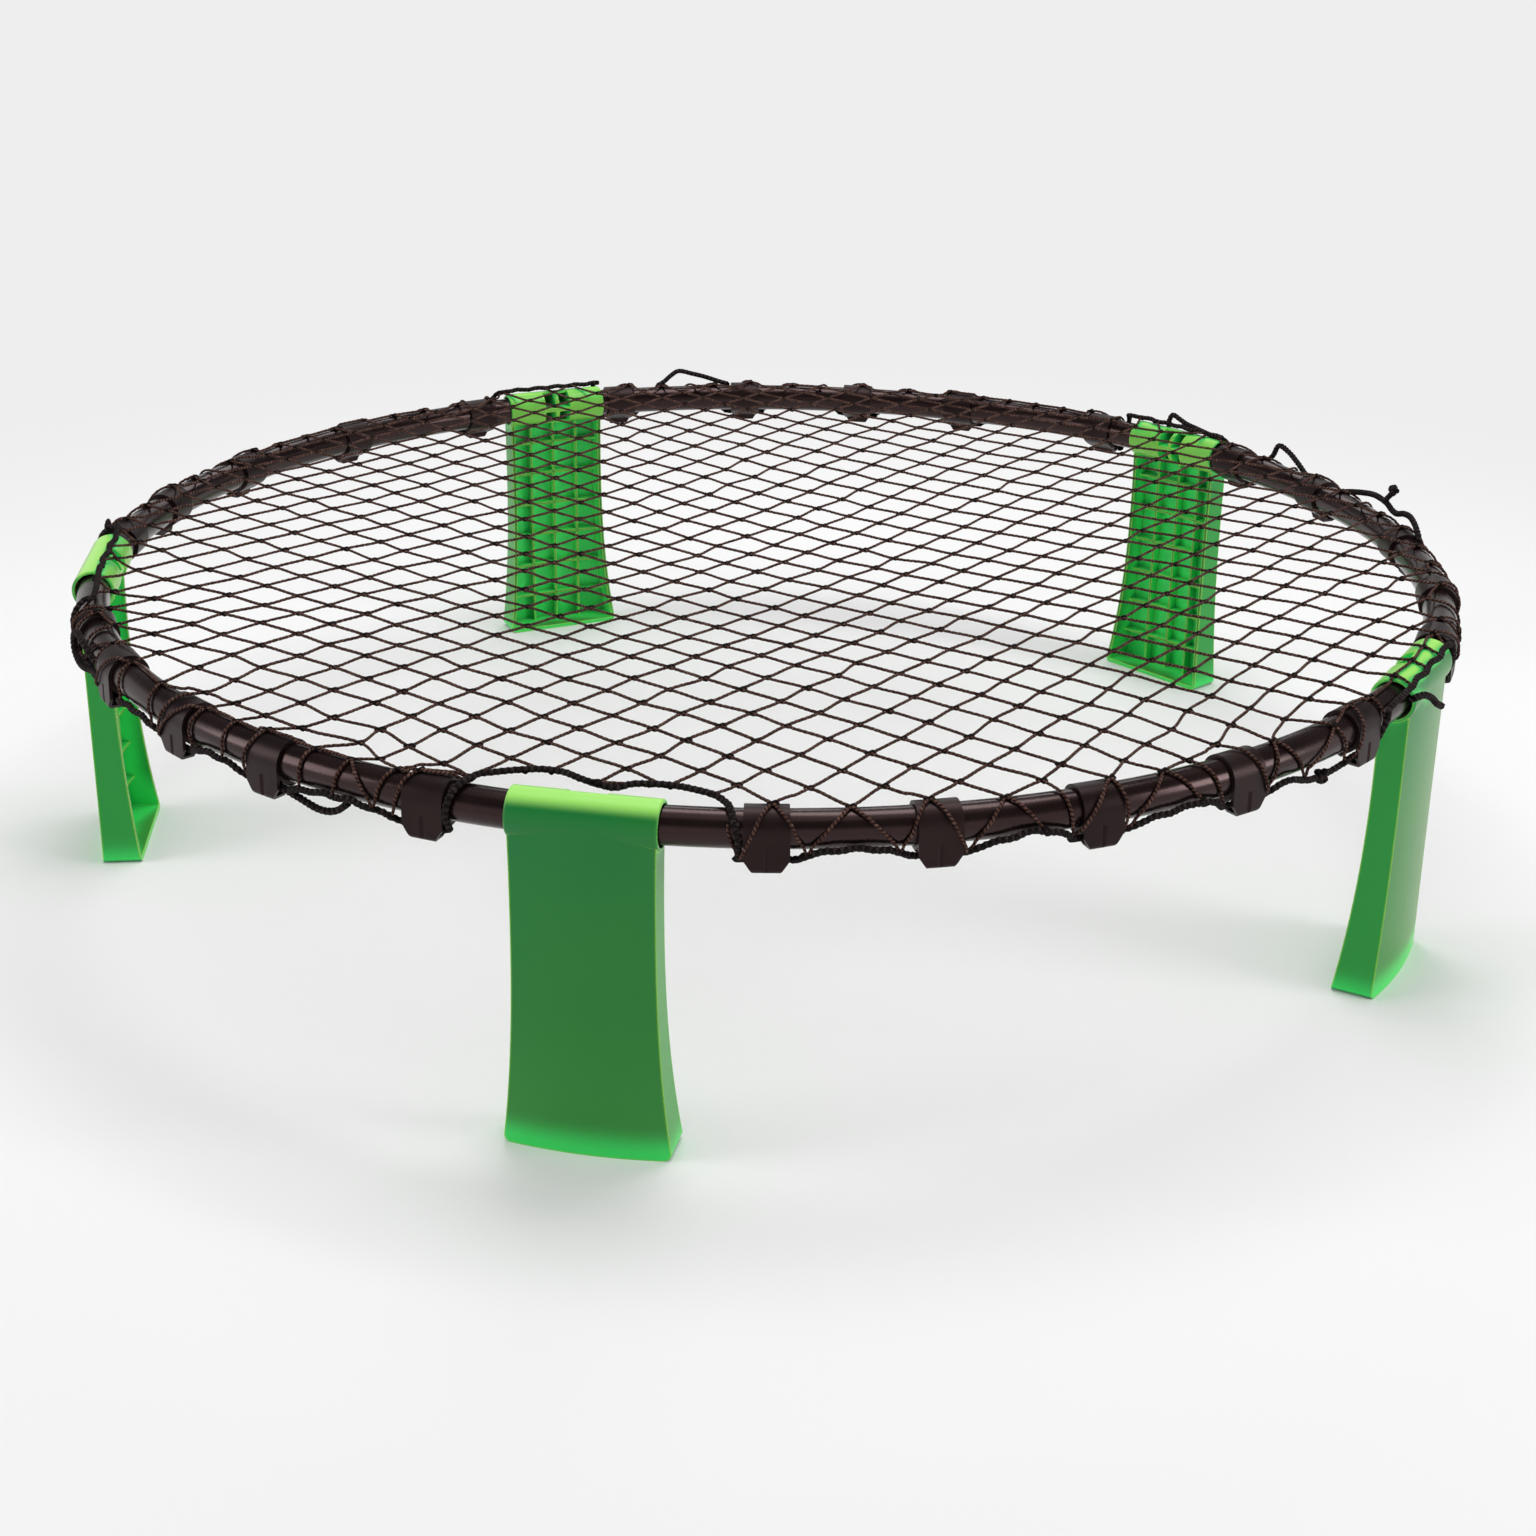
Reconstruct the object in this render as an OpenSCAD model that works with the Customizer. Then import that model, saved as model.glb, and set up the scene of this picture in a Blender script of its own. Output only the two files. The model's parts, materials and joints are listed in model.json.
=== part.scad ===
// Lawn-game target net: a round rim of five curved tubes, plugged into five folding legs,
// with a knotted net stretched over the rim and held by clips and an edge rope.
// Millimetres, +Z up. The origin is on the ground, below the centre of the rim.
// Azimuths are counted from leg 1, which stands at -Y, counter-clockwise from above.

/* [Rim] */
// Radius of the rim, from its centre to the middle of the tube
rim_r = 447; // [430:1:470]
// Height of the middle of the tube above the ground
axis_h = 192; // [180:1:210]
// Outer diameter of the rim tube
tube_d = 21; // [19:0.5:22]
// Wall of the rim tube
tube_wall = 2.5; // [1.2:0.1:4]

/* [Legs] */
// Length of the sleeve that takes two tube ends
sleeve_len = 81.5; // [76:0.5:86]
// Wall of the sleeve
sleeve_wall = 2; // [1.6:0.1:2.4]
// Running gap between the sleeve and the tube inside it
sleeve_play = 0.3; // [0.3:0.05:0.6]
// Radius on the outer edges of the sleeve's ends
sleeve_edge = 1.2; // [0.4:0.1:1.4]
// Width of the slot in the sleeve, between the stops
slot_w = 22; // [16:1:28]
// Distance of the slot from the sleeve's crest, on the inner side
slot_from_crest = 2; // [0:0.5:4]
// Thickness of the walls beside the slot, which stop the tube ends
stop_t = 3; // [2:0.2:4]
// Gap between a tube end and its stop
stop_play = 0.5; // [0.4:0.1:1.2]
// Thickness of the cross rib between the stops
web_t = 3; // [2:0.2:4]
// Width of the leg just under its sleeve
leg_top_w = 80; // [76:0.5:81]
// Width of the leg at its waist
leg_waist_w = 78.8; // [68:0.2:80]
// Depth of the waist below the middle of the tube
waist_depth = 50; // [30:1:130]
// Width of the foot
foot_w = 94; // [84:0.5:98]
// Corner radius at the foot
foot_corner = 4; // [1:0.5:8]
// Thickness of the front plate
plate_t = 2.6; // [1.8:0.1:4]
// Thickness of the side walls
side_t = 2.8; // [1.8:0.1:4]
// Thickness of the foot plate
foot_t = 3; // [2:0.1:5]
// Radius of the front plate's outward bow
bow_r = 264; // [200:5:500]
// How far the front plate leans inward, from the sleeve down to the foot
lean = 3.3; // [0:0.1:8]
// Reach of the side walls inward from the middle of the tube, under the sleeve
side_reach_top = 8; // [4:0.5:9]
// The same reach at the foot
side_reach_foot = 20; // [12:0.5:21]
// Number of upright ribs inside the leg
upright_ribs = 3; // [1:1:5]
// Distance between upright ribs
upright_step = 20; // [12:0.5:22]
// Number of level ribs inside the leg
level_ribs = 6; // [3:1:7]
// Depth of the first level rib below the middle of the tube
level_first = 31; // [24:1:40]
// Distance between level ribs
level_step = 27; // [18:0.5:27]
// Thickness of the ribs
rib_t = 1.8; // [1.2:0.1:3]
// How far the ribs stand out of the front plate
rib_h = 8; // [4:0.5:9]

/* [Clips] */
// Length of a clip along the tube
clip_len = 23.5; // [18:0.5:24]
// Wall of a clip
clip_wall = 2; // [1.5:0.1:2.4]
// Gap between a clip's collar and the tube
clip_play = 0.2; // [0.1:0.05:0.4]
// How far a clip reaches below the tube
clip_drop = 9.6; // [9.4:0.1:14]
// Width of a clip at its lower edge
clip_tip_w = 14; // [8:0.5:16]
// Height over which a clip narrows to its lower edge
clip_taper = 7.2; // [5:0.1:12]
// Outer radius of the clip's lower bend
clip_bend = 3; // [2:0.1:4]
// Reach of the clip's hook, inward from its outer face
hook_reach = 9.7; // [9:0.1:10]
// Height of the hook's lip
lip_h = 4.4; // [3:0.1:4.6]
// Slit between the lip and the inner skirt
slit = 2.2; // [1.5:0.1:3]
// Width of the groove in the clip's outer face
groove_w = 3.2; // [1:0.2:5]
// Depth of that groove
groove_d = 0.9; // [0.2:0.1:1.2]

/* [Net and rope] */
// Side of one square mesh, from knot to knot
mesh = 46; // [45:0.5:80]
// Diameter of the net's cord
cord_d = 2; // [1.4:0.1:2.4]
// Size of a knot across its corners
knot_w = 6; // [4:0.5:10]
// Direction of one set of the net's cords, from +X
mesh_angle = -27; // [-45:1:45]
// Diameter of the edge rope
rope_d = 3.8; // [3:0.1:4]
// Diameter of the knot that joins the rope's ends
end_knot_d = 10; // [8:0.5:12]
// Gap between the net's pieces and what they lie on
lay_gap = 0.3; // [0.2:0.05:0.5]

/* [Hidden] */
LEGS = 5;
CLIPS = 5; // clips on each tube
leg_step = 360 / LEGS;
$fn = 96;

// Azimuths of the clips, in degrees from the leg before them
clip_places = [
  [12, 23.2, 34.5, 46.5, 60],
  [8.2, 20.6, 35, 52, 64.5],
  [9.7, 26.4, 38, 50.5, 64.5],
  [8.7, 24.4, 39.5, 52.6, 63],
  [15, 25, 37.2, 47.5, 61]];
// Azimuth of the knot that joins the rope's ends
knot_at = 54.8;
// Where the rope passes each leg: 0 runs it behind the sleeve, any other value is
// the angle up from the outward direction at which it lies on the sleeve
rope_side = [0, 48, 84, 78, 108];
// Room for the rope inside a clip: from the outer plate, and above the hook
pocket_gap_out = 1.8;
pocket_gap_low = 2.2;
// Room between a sleeve and the rope behind it
behind_gap = 3;
// Room between the rim tube and the rope that crosses it
over_gap = 0.6;
// Room beside the rope where it crosses the rim next to a clip
cross_gap = 1;
// The rope's turn round the rim tube, as angles up from the outward direction: where it starts
// behind a leg, how far below its place on a sleeve it starts there, where it ends, and its steps
crest_angle = 102;
sleeve_drop_angle = 14;
low_angle = -18;
turn_step = 24;
// Between two clips the rope lies up against the rim tube, at this angle
span_angle = -50;
// The rope hangs by its end knot, which needs room under the tube: how much, and over what stretch
knot_sag = 2;
sag_deg = 4;
// Furthest that an edge strand leans along the rim on its way down
strand_lean = 17;

tube_r = tube_d / 2;
cord_r = cord_d / 2;
rope_r = rope_d / 2;

// The tube curves inside the straight sleeve, so the sleeve's axis lies halfway along its rise
tube_rise = rim_r - sqrt(rim_r * rim_r - sleeve_len * sleeve_len / 4);
hinge_in = tube_rise / 2;
bore_r = tube_r + tube_rise / 2 + sleeve_play;
sleeve_r = bore_r + sleeve_wall;
stop_half = slot_w / 2;
tube_end_deg = asin((stop_half + stop_t + stop_play) / rim_r);
sleeve_end_deg = atan(sleeve_len / 2 / (rim_r - tube_rise));
deg_per_mm = 180 / PI / rim_r;

collar_r = tube_r + clip_play + clip_wall;
clip_half_deg = clip_len / 2 * deg_per_mm;
clip_low = tube_r + clip_drop; // depth of a clip below the middle of the tube
// No clip comes so close to a sleeve that the rope can't pass between them
clip_first = sleeve_end_deg + (rope_d + cross_gap) * deg_per_mm + clip_half_deg;
clip_at = [for (tube = clip_places) [for (c = tube) min(max(c, clip_first), leg_step - clip_first)]];

// The flat net lies on the collars, and its edge strands turn over the tube
net_z = collar_r + lay_gap + cord_r;
wrap_r = tube_r + lay_gap + cord_r;

// Middle of the rope, from the middle of the tube: in the clips, between them, and behind a leg
rope_out = collar_r - clip_wall - rope_r - pocket_gap_out;
rope_low = clip_low - clip_wall - rope_r - pocket_gap_low;
pocket_r = norm([rope_out, rope_low]);
pocket_angle = -atan2(rope_low, rope_out);
rope_in = hinge_in + sleeve_r + rope_r + behind_gap;
rope_over_r = tube_r + rope_r + over_gap;
rope_sleeve_r = sleeve_r + rope_r + lay_gap; // from the sleeve's own axis
net_r = rim_r - rope_in - rope_r - lay_gap;

module around(azimuth) rotate([0, 0, azimuth - 90]) children();

// A 2D outline of [outward, up], made as thick as given along the tangent
module along_tangent(thickness) rotate([90, 0, 0]) linear_extrude(thickness, center = true) children();

// A 2D outline of [tangent, up], made as deep as given along the outward direction
module along_outward(from, depth) translate([from, 0, 0]) rotate([90, 0, 90]) linear_extrude(depth) children();

// ---------- rim ----------

module rim_tube(k) {
  color([0.13, 0.1, 0.1])
    around((k - 1) * leg_step + tube_end_deg)
      translate([0, 0, axis_h])
        rotate_extrude(angle = leg_step - 2 * tube_end_deg)
          translate([rim_r, 0])
            difference() {
              circle(tube_r);
              circle(tube_r - tube_wall);
            }
}

// ---------- leg, drawn at its own place: X outward from the tube, Y tangent ----------

leg_far = axis_h * 2; // longer than any cut needs

function leg_half_w(depth) = depth < waist_depth
  ? leg_waist_w / 2 + (leg_top_w - leg_waist_w) / 2 * pow(1 - depth / waist_depth, 2)
  : leg_waist_w / 2 + (foot_w - leg_waist_w) / 2 * pow((depth - waist_depth) / (axis_h - waist_depth), 2.5);

function side_reach(depth) = side_reach_top + (side_reach_foot - side_reach_top)
  * pow(max(0, depth - sleeve_r) / (axis_h - sleeve_r), 2.4);

// Front outline, its edges moved in by inset
module leg_front(inset) {
  steps = 16;
  base = max(inset, foot_corner);
  edge = [for (i = [0:steps]) let (z = base + (axis_h - base) * i / steps) [leg_half_w(axis_h - z) - inset, z]];
  corner_r = max(0.5, foot_corner - inset);
  corner = [for (a = [-90:15:-15]) [edge[0][0] - corner_r + corner_r * cos(a), base + corner_r * sin(a)]];
  right = concat(corner, edge);
  polygon(concat(right, [for (i = [len(right) - 1:-1:0]) [-right[i][0], right[i][1]]]));
}

module leg_side() {
  steps = 16;
  polygon(concat(
    [[sleeve_r, 0], [sleeve_r, axis_h]],
    [for (i = [steps:-1:0]) let (z = axis_h * i / steps) [-side_reach(axis_h - z), z]]));
}

// Everything behind the bowed front face, which is a leaning cylinder of large radius
module behind_bow(inset) {
  face_x = sleeve_r - hinge_in;
  translate([face_x, 0, axis_h])
    rotate([0, atan(lean / axis_h), 0])
      translate([-bow_r, 0, -leg_far])
        cylinder(h = 2 * leg_far, r = bow_r - inset, $fn = 360);
}

module leg_ribs() {
  intersection() {
    union() {
      for (i = [0:upright_ribs - 1])
        translate([0, (i - (upright_ribs - 1) / 2) * upright_step, axis_h / 2])
          cube([4 * sleeve_r, rib_t, axis_h], center = true);
      for (i = [0:level_ribs - 1])
        translate([0, 0, axis_h - level_first - i * level_step])
          cube([4 * sleeve_r, foot_w, rib_t], center = true);
    }
    difference() {
      behind_bow(plate_t / 2);
      behind_bow(plate_t + rib_h);
    }
    along_outward(-2 * sleeve_r, 4 * sleeve_r) leg_front(side_t / 2);
  }
}

module leg_shell() {
  difference() {
    intersection() {
      behind_bow(0);
      along_tangent(leg_far) leg_side();
      along_outward(-2 * sleeve_r, 4 * sleeve_r) leg_front(0);
    }
    intersection() {
      behind_bow(plate_t);
      along_outward(-2 * sleeve_r, 4 * sleeve_r) leg_front(side_t);
      translate([0, 0, foot_t + leg_far / 2]) cube(leg_far, center = true);
    }
  }
}

// The sleeve's outer form: a short bar with rounded end edges
module sleeve_bar() {
  half = sleeve_len / 2;
  flat = sleeve_r - sleeve_edge;
  rotate([90, 0, 0])
    rotate_extrude()
      union() {
        translate([0, -half]) square([flat, sleeve_len]);
        translate([0, -half + sleeve_edge]) square([sleeve_r, sleeve_len - 2 * sleeve_edge]);
        for (end = [-1, 1]) translate([flat, end * (half - sleeve_edge)]) circle(sleeve_edge, $fn = 32);
      }
}

// Inside the sleeve: a wall beside each end of the slot, which stops a tube, and between the two
// a cross rib and a level strip
module stops() {
  inside_r = sleeve_r - sleeve_wall / 2;
  for (side = [-1, 1])
    translate([0, side * (stop_half + stop_t / 2), 0])
      rotate([90, 0, 0]) cylinder(h = stop_t, r = inside_r, center = true);
  rotate([90, 0, 0]) cylinder(h = web_t, r = inside_r, center = true);
  cube([2 * inside_r, slot_w + stop_t, web_t], center = true);
}

module leg_form() {
  difference() {
    union() {
      leg_shell();
      leg_ribs();
      translate([-hinge_in, 0, axis_h]) sleeve_bar();
    }
    translate([-hinge_in, 0, axis_h]) {
      rotate([90, 0, 0]) cylinder(h = 2 * sleeve_len, r = bore_r, center = true);
      translate([-slot_from_crest - 2 * sleeve_r, 0, 0])
        cube([4 * sleeve_r, slot_w, 2 * sleeve_r + 1], center = true);
    }
  }
  translate([-hinge_in, 0, axis_h]) stops();
}

module leg(k) {
  color([0.16, 0.58, 0.2]) around((k - 1) * leg_step) translate([rim_r, 0, 0]) leg_form();
}

// ---------- clip ----------

lip_u = collar_r - hook_reach;
skirt_tip = [lip_u - slit, -(clip_low - lip_h)];
// The skirt leaves the collar where a line from its tip touches the collar
skirt_turn = atan2(skirt_tip[1], skirt_tip[0]) - acos(collar_r / norm(skirt_tip));
skirt_root = collar_r * [cos(skirt_turn), sin(skirt_turn)];
skirt_in = clip_wall * [-cos(skirt_turn), -sin(skirt_turn)];

// Section across the tube: collar, outer plate, hook and inner skirt round the rope's pocket
module clip_section() {
  difference() {
    union() {
      circle(collar_r);
      translate([collar_r - clip_wall, clip_bend - clip_low]) square([clip_wall, clip_low - clip_bend]);
      translate([lip_u, -clip_low]) square([hook_reach - clip_bend, clip_wall]);
      translate([lip_u, -clip_low]) square([clip_wall, lip_h]);
      polygon([skirt_root, skirt_tip, skirt_tip + skirt_in, skirt_root + skirt_in]);
      translate([collar_r - clip_bend, clip_bend - clip_low])
        difference() {
          intersection() {
            circle(clip_bend, $fn = 48);
            translate([0, -clip_bend]) square(clip_bend);
          }
          circle(clip_bend - clip_wall, $fn = 48);
        }
    }
    circle(tube_r + clip_play);
  }
}

module net_clip(azimuth) {
  cut_w = clip_len; // wider than what each corner loses
  color([0.2, 0.17, 0.16])
    around(azimuth)
      difference() {
        rotate([0, 0, -clip_half_deg])
          translate([0, 0, axis_h])
            rotate_extrude(angle = 2 * clip_half_deg)
              translate([rim_r, 0]) clip_section();
        for (side = [-1, 1])
          along_outward(rim_r - 2 * collar_r, 4 * collar_r)
            polygon([
              [side * clip_tip_w / 2, axis_h - clip_low - 1],
              [side * clip_tip_w / 2, axis_h - clip_low],
              [side * clip_len / 2, axis_h - clip_low + clip_taper],
              [side * (clip_len / 2 + cut_w), axis_h - clip_low + clip_taper],
              [side * (clip_len / 2 + cut_w), axis_h - clip_low - 1]]);
        translate([rim_r + collar_r, 0, axis_h - clip_low - 1])
          linear_extrude(clip_low - tube_r / 2)
            polygon([[1, -groove_w / 2], [0, -groove_w / 2], [-groove_d, 0], [0, groove_w / 2], [1, groove_w / 2]]);
      }
}

// ---------- net ----------

// One opening of the net: a square whose corners are cut by the knots
module mesh_hole() {
  half = (mesh - cord_d) / 2;
  cut = (knot_w - cord_d) / sqrt(2) + cord_d / 2;
  far = half - cut;
  polygon([[half, -far], [half, far], [far, half], [-far, half], [-half, far], [-half, -far], [-far, -half], [far, -half]]);
}

cells = ceil(net_r / mesh) + 1;

module net() {
  color([0.22, 0.17, 0.16])
    translate([0, 0, axis_h + net_z - cord_r])
      linear_extrude(cord_d)
        difference() {
          circle(net_r, $fn = 360);
          rotate(mesh_angle)
            for (i = [-cells:cells], j = [-cells:cells])
              if (norm([i, j]) * mesh < net_r + mesh * 0.7)
                translate([i, j] * mesh) mesh_hole();
        }
}

// Where the net's cords reach its edge: the azimuth, counted from leg 1, and how far the cord
// leans along the rim by the time it is down at the rope, in degrees
cord_ends = [
  for (set = [0, 90], i = [-cells:cells - 1], way = [-1, 1])
    let (off = (i + 0.5) * mesh)
      if (abs(off) < net_r - cord_d)
        let (
          a = mesh_angle + set + way * acos(off / net_r),
          slant = way * tan(asin(off / net_r)) * (rim_r - net_r + tube_d))
          [(a + 90 + 720) % 360, max(-strand_lean, min(strand_lean, slant)) * deg_per_mm]];

function signed_turn(a, b) = (a - b + 540) % 360 - 180;

// A cord end turns over the tube only where no leg, rope crossing or clip is in its way
function is_free(end, k) =
  let (
    middle = end[0] + end[1] / 2 - (k - 1) * leg_step,
    near = 1.5 * cord_d * deg_per_mm + clip_half_deg + abs(end[1]) / 2)
    middle > clip_at[k - 1][0] + near && middle < clip_at[k - 1][CLIPS - 1] - near
    && min([for (c = clip_at[k - 1]) abs(middle - c)]) > near;

// Where a line from a point touches a circle round the tube, as an angle up from the outward direction
function touch(p, r, way) = atan2(p[1], p[0]) + way * acos(r / norm(p));

// One strand: from the flat net's edge, slanting over the tube and down to the rope
module edge_strand(end) {
  start = [net_r + lay_gap - rim_r, net_z];
  rope = rope_place(end[0] + end[1]);
  top = touch(start, wrap_r, -1);
  low = touch(rope, wrap_r, 1);
  low_point = wrap_r * [cos(low), sin(low)];
  to_rope = rope - low_point;
  at_knot = abs(signed_turn(end[0] + end[1], knot_at)) < knot_deg + cord_d * deg_per_mm;
  last = low_point + to_rope * (1 - ((at_knot ? end_knot_d / 2 : rope_r) + 2 * lay_gap) / norm(to_rope));
  bends = 5;
  path = concat(
    [start],
    [for (i = [0:bends]) let (psi = top + (low - top) * i / bends) wrap_r * [cos(psi), sin(psi)]],
    [last]);
  runs = len(path) - 1;
  sweep([for (i = [0:runs]) at([end[0] + end[1] * i / runs, path[i][0], path[i][1]])], cord_r, 6);
}

module net_edge(k) {
  color([0.26, 0.2, 0.19])
    for (end = cord_ends)
      if (is_free(end, k) && !meets_another(end)) edge_strand(end);
}

// True where another cord's end comes before this one and the two would meet or cross
function meets_another(end) =
  let (apart = 2 * cord_d * deg_per_mm)
    len([for (other = cord_ends)
      let (above = signed_turn(end[0], other[0]), below = above + end[1] - other[1])
        if (above > 0 && above < leg_step && min(above, below) < apart) other]) > 0;

// ---------- rope ----------

// The rope crosses the rim right next to the clip
function crossing(clip_offset) = clip_offset - clip_half_deg - (rope_d + cross_gap) / 2 * deg_per_mm;

// Middle of the sleeve, outward from the middle of the curved tube
function sleeve_out(azimuth) = (rim_r - hinge_in) / cos(azimuth) - rim_r;

// From a leg's middle to the rim, as [azimuth, outward, up]: behind the sleeve, or along it
function past_leg(side, c) =
  let (end = sleeve_end_deg)
    side == 0
    ? concat(
        [for (t = [0, 0.5, 1]) [t * end, -rope_in, net_z]],
        [for (t = [1 / 3, 2 / 3])
          [end + (c - end) * t, -rope_in + (rope_in + rope_over_r * cos(crest_angle)) * t * t, net_z]])
    : [for (t = [0, 0.5, 1])
        [t * end, sleeve_out(t * end) + rope_sleeve_r * cos(side), rope_sleeve_r * sin(side)]];

// From the crest of the rim, or from below the rope's place on the sleeve, round the tube to the clips
function over_rim(side, c) =
  let (
    from = side == 0 ? crest_angle : side - sleeve_drop_angle,
    steps = ceil((from - low_angle) / turn_step),
    spare = side == 0 ? 0 : rope_sleeve_r - rope_over_r)
  concat(
    [for (i = [0:steps])
      let (psi = from + (low_angle - from) * i / steps, r = rope_over_r + spare * pow(1 - i / steps, 2))
        [c, r * cos(psi), r * sin(psi)]],
    [[c, rope_out + 0.85 * rope_d, 1.3 * rope_d - rope_low], [c + 0.1, rope_out + 0.2 * rope_d, rope_r / 2 - rope_low]]);

function back_to(azimuth, route) = [for (i = [len(route) - 1:-1:0]) [azimuth - route[i][0], route[i][1], route[i][2]]];

// How far a place is into the stretch between two clips: 0 in the clips, 1 halfway between them
function span_share(azimuth) =
  let (
    k = floor(azimuth / leg_step) % LEGS,
    here = azimuth - floor(azimuth / leg_step) * leg_step,
    edge = clip_half_deg + rope_d * deg_per_mm,
    shares = [for (i = [0:CLIPS - 2])
      let (t = (here - clip_at[k][i] - edge) / (clip_at[k][i + 1] - clip_at[k][i] - 2 * edge))
        t > 0 && t < 1 ? sin(180 * t) : 0])
    max(shares);

// Middle of the rope under the rim, as [outward, up]
function rope_place(azimuth) =
  let (
    knot = max(0, 1 - pow(signed_turn(azimuth, knot_at) / sag_deg, 2)),
    lift = span_share(azimuth) * (1 - knot),
    r = pocket_r + (rope_over_r - pocket_r) * lift + knot_sag * knot,
    angle = pocket_angle + (span_angle - pocket_angle) * lift)
    r * [cos(angle), sin(angle)];

function under_rim(azimuth) = let (p = rope_place(azimuth)) [azimuth, p[0], p[1]];

// The rope from one leg's middle to the next
function section_route(k) =
  let (
    first = crossing(clip_at[k][0]),
    last = crossing(leg_step - clip_at[k][CLIPS - 1]),
    next = rope_side[(k + 1) % LEGS],
    pocket_from = clip_at[k][0] - 0.5,
    pocket_to = clip_at[k][CLIPS - 1] + 0.5,
    runs = ceil((pocket_to - pocket_from) / 2))
  concat(
    past_leg(rope_side[k], first),
    over_rim(rope_side[k], first),
    [for (i = [0:runs])
      let (azimuth = pocket_from + (pocket_to - pocket_from) * i / runs, p = rope_place(azimuth + k * leg_step))
        [azimuth, p[0], p[1]]],
    back_to(leg_step, over_rim(next, last)),
    [for (p = back_to(leg_step, past_leg(next, last))) if (p[0] < leg_step) p]);

rope_loop = [for (k = [0:LEGS], p = section_route(k % LEGS)) [p[0] + k * leg_step, p[1], p[2]]];
knot_deg = (end_knot_d / 2 + lay_gap) * deg_per_mm;
knot_reach = knot_deg + 0.8; // points of the route nearer to the knot than this give way to its ends
rope_route = concat(
  [under_rim(knot_at + knot_deg)],
  [for (p = rope_loop) if (p[0] > knot_at + knot_reach && p[0] < knot_at + 360 - knot_reach) p],
  [under_rim(knot_at + 360 - knot_deg)]);

function at(p) = [(rim_r + p[1]) * sin(p[0]), -(rim_r + p[1]) * cos(p[0]), axis_h + p[2]];
function unit(v) = v / norm(v);

// A tube of the given radius along a path, its rings square to the path
module sweep(path, radius, sides) {
  n = len(path);
  heading = [for (i = [0:n - 1]) unit(path[min(i + 1, n - 1)] - path[max(i - 1, 0)])];
  normals = [for (i = 0, v = unit(cross(heading[0], [0, 0, 1])); i < n;
    i = i + 1, v = i < n ? unit(v - (v * heading[i]) * heading[i]) : v) v];
  points = [for (i = [0:n - 1], j = [0:sides - 1])
    let (a = 360 * j / sides)
      path[i] + radius * (cos(a) * normals[i] + sin(a) * cross(heading[i], normals[i]))];
  walls = [for (i = [0:n - 2], j = [0:sides - 1])
    let (a = i * sides + j, b = i * sides + (j + 1) % sides)
      each [[a, a + sides, b], [b, a + sides, b + sides]]];
  first = [for (j = [1:sides - 2]) [0, j, j + 1]];
  last = [for (j = [1:sides - 2]) [(n - 1) * sides, (n - 1) * sides + j + 1, (n - 1) * sides + j]];
  polyhedron(points, concat(walls, first, last));
}

module edge_rope() {
  color([0.16, 0.12, 0.12]) sweep([for (p = rope_route) at(p)], rope_r, 8);
}

module rope_knot() {
  color([0.16, 0.12, 0.12]) translate(at(under_rim(knot_at))) sphere(d = end_knot_d, $fn = 48);
}

// ---------- parts ----------

for (k = [1:LEGS]) {
  rim_tube(k);
  leg(k);
  net_edge(k);
  for (i = [1:CLIPS])
    net_clip((k - 1) * leg_step + clip_at[k - 1][i - 1]);
}
net();
edge_rope();
rope_knot();
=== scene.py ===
"""Looks of a roundnet set: five curved rim tubes, five folding legs, clips, a knotted net and its rope.

Metres, +Z up, with the origin on the ground below the rim's centre. Azimuths are in degrees, counted
from leg 1, which stands at -Y, counter-clockwise from above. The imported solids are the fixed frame:
tubes, legs and clips get their finish here, and the net, its edge strands and its rope are replaced
by detailed pieces that lie where their solids are.
"""

import json
import logging
import math
from collections.abc import Iterable, Sequence
from dataclasses import dataclass, field
from enum import Enum

import bmesh
import bpy
import numpy as np
from mathutils import Matrix, Vector

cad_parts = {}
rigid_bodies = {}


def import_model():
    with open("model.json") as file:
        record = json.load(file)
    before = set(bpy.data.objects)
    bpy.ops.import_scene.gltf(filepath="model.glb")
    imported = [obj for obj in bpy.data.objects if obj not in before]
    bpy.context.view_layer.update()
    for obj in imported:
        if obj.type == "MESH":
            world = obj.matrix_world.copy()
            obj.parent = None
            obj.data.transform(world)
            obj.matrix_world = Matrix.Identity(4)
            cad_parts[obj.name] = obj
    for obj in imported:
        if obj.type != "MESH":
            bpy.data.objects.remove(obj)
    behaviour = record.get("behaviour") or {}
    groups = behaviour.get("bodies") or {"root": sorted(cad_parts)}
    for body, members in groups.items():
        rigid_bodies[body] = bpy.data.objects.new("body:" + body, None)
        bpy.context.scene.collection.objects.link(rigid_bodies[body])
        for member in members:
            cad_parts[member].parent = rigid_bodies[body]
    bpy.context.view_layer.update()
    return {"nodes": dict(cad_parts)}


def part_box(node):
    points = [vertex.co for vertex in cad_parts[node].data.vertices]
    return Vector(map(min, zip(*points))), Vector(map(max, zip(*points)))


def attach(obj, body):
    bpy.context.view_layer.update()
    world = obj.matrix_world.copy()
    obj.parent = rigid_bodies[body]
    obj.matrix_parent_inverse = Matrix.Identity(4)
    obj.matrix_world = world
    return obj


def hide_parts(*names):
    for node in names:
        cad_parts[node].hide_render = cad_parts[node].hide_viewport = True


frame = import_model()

LOG = logging.getLogger("roundnet")
LEGS = 5
CLIPS_PER_TUBE = 5
LEG_STEP = 360 / LEGS
RIM_BODY = "rim"
Route = list[tuple[float, float, float]]
Colour = tuple[float, float, float, float]
Span = tuple[float, float]
MM_PER_M = 1000
EDGE_SAMPLES = 6
CORNER_SAMPLES = 12
UPWARD = Vector((0, 0, 1))


# ---------- sizes that several pieces share ----------


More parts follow.
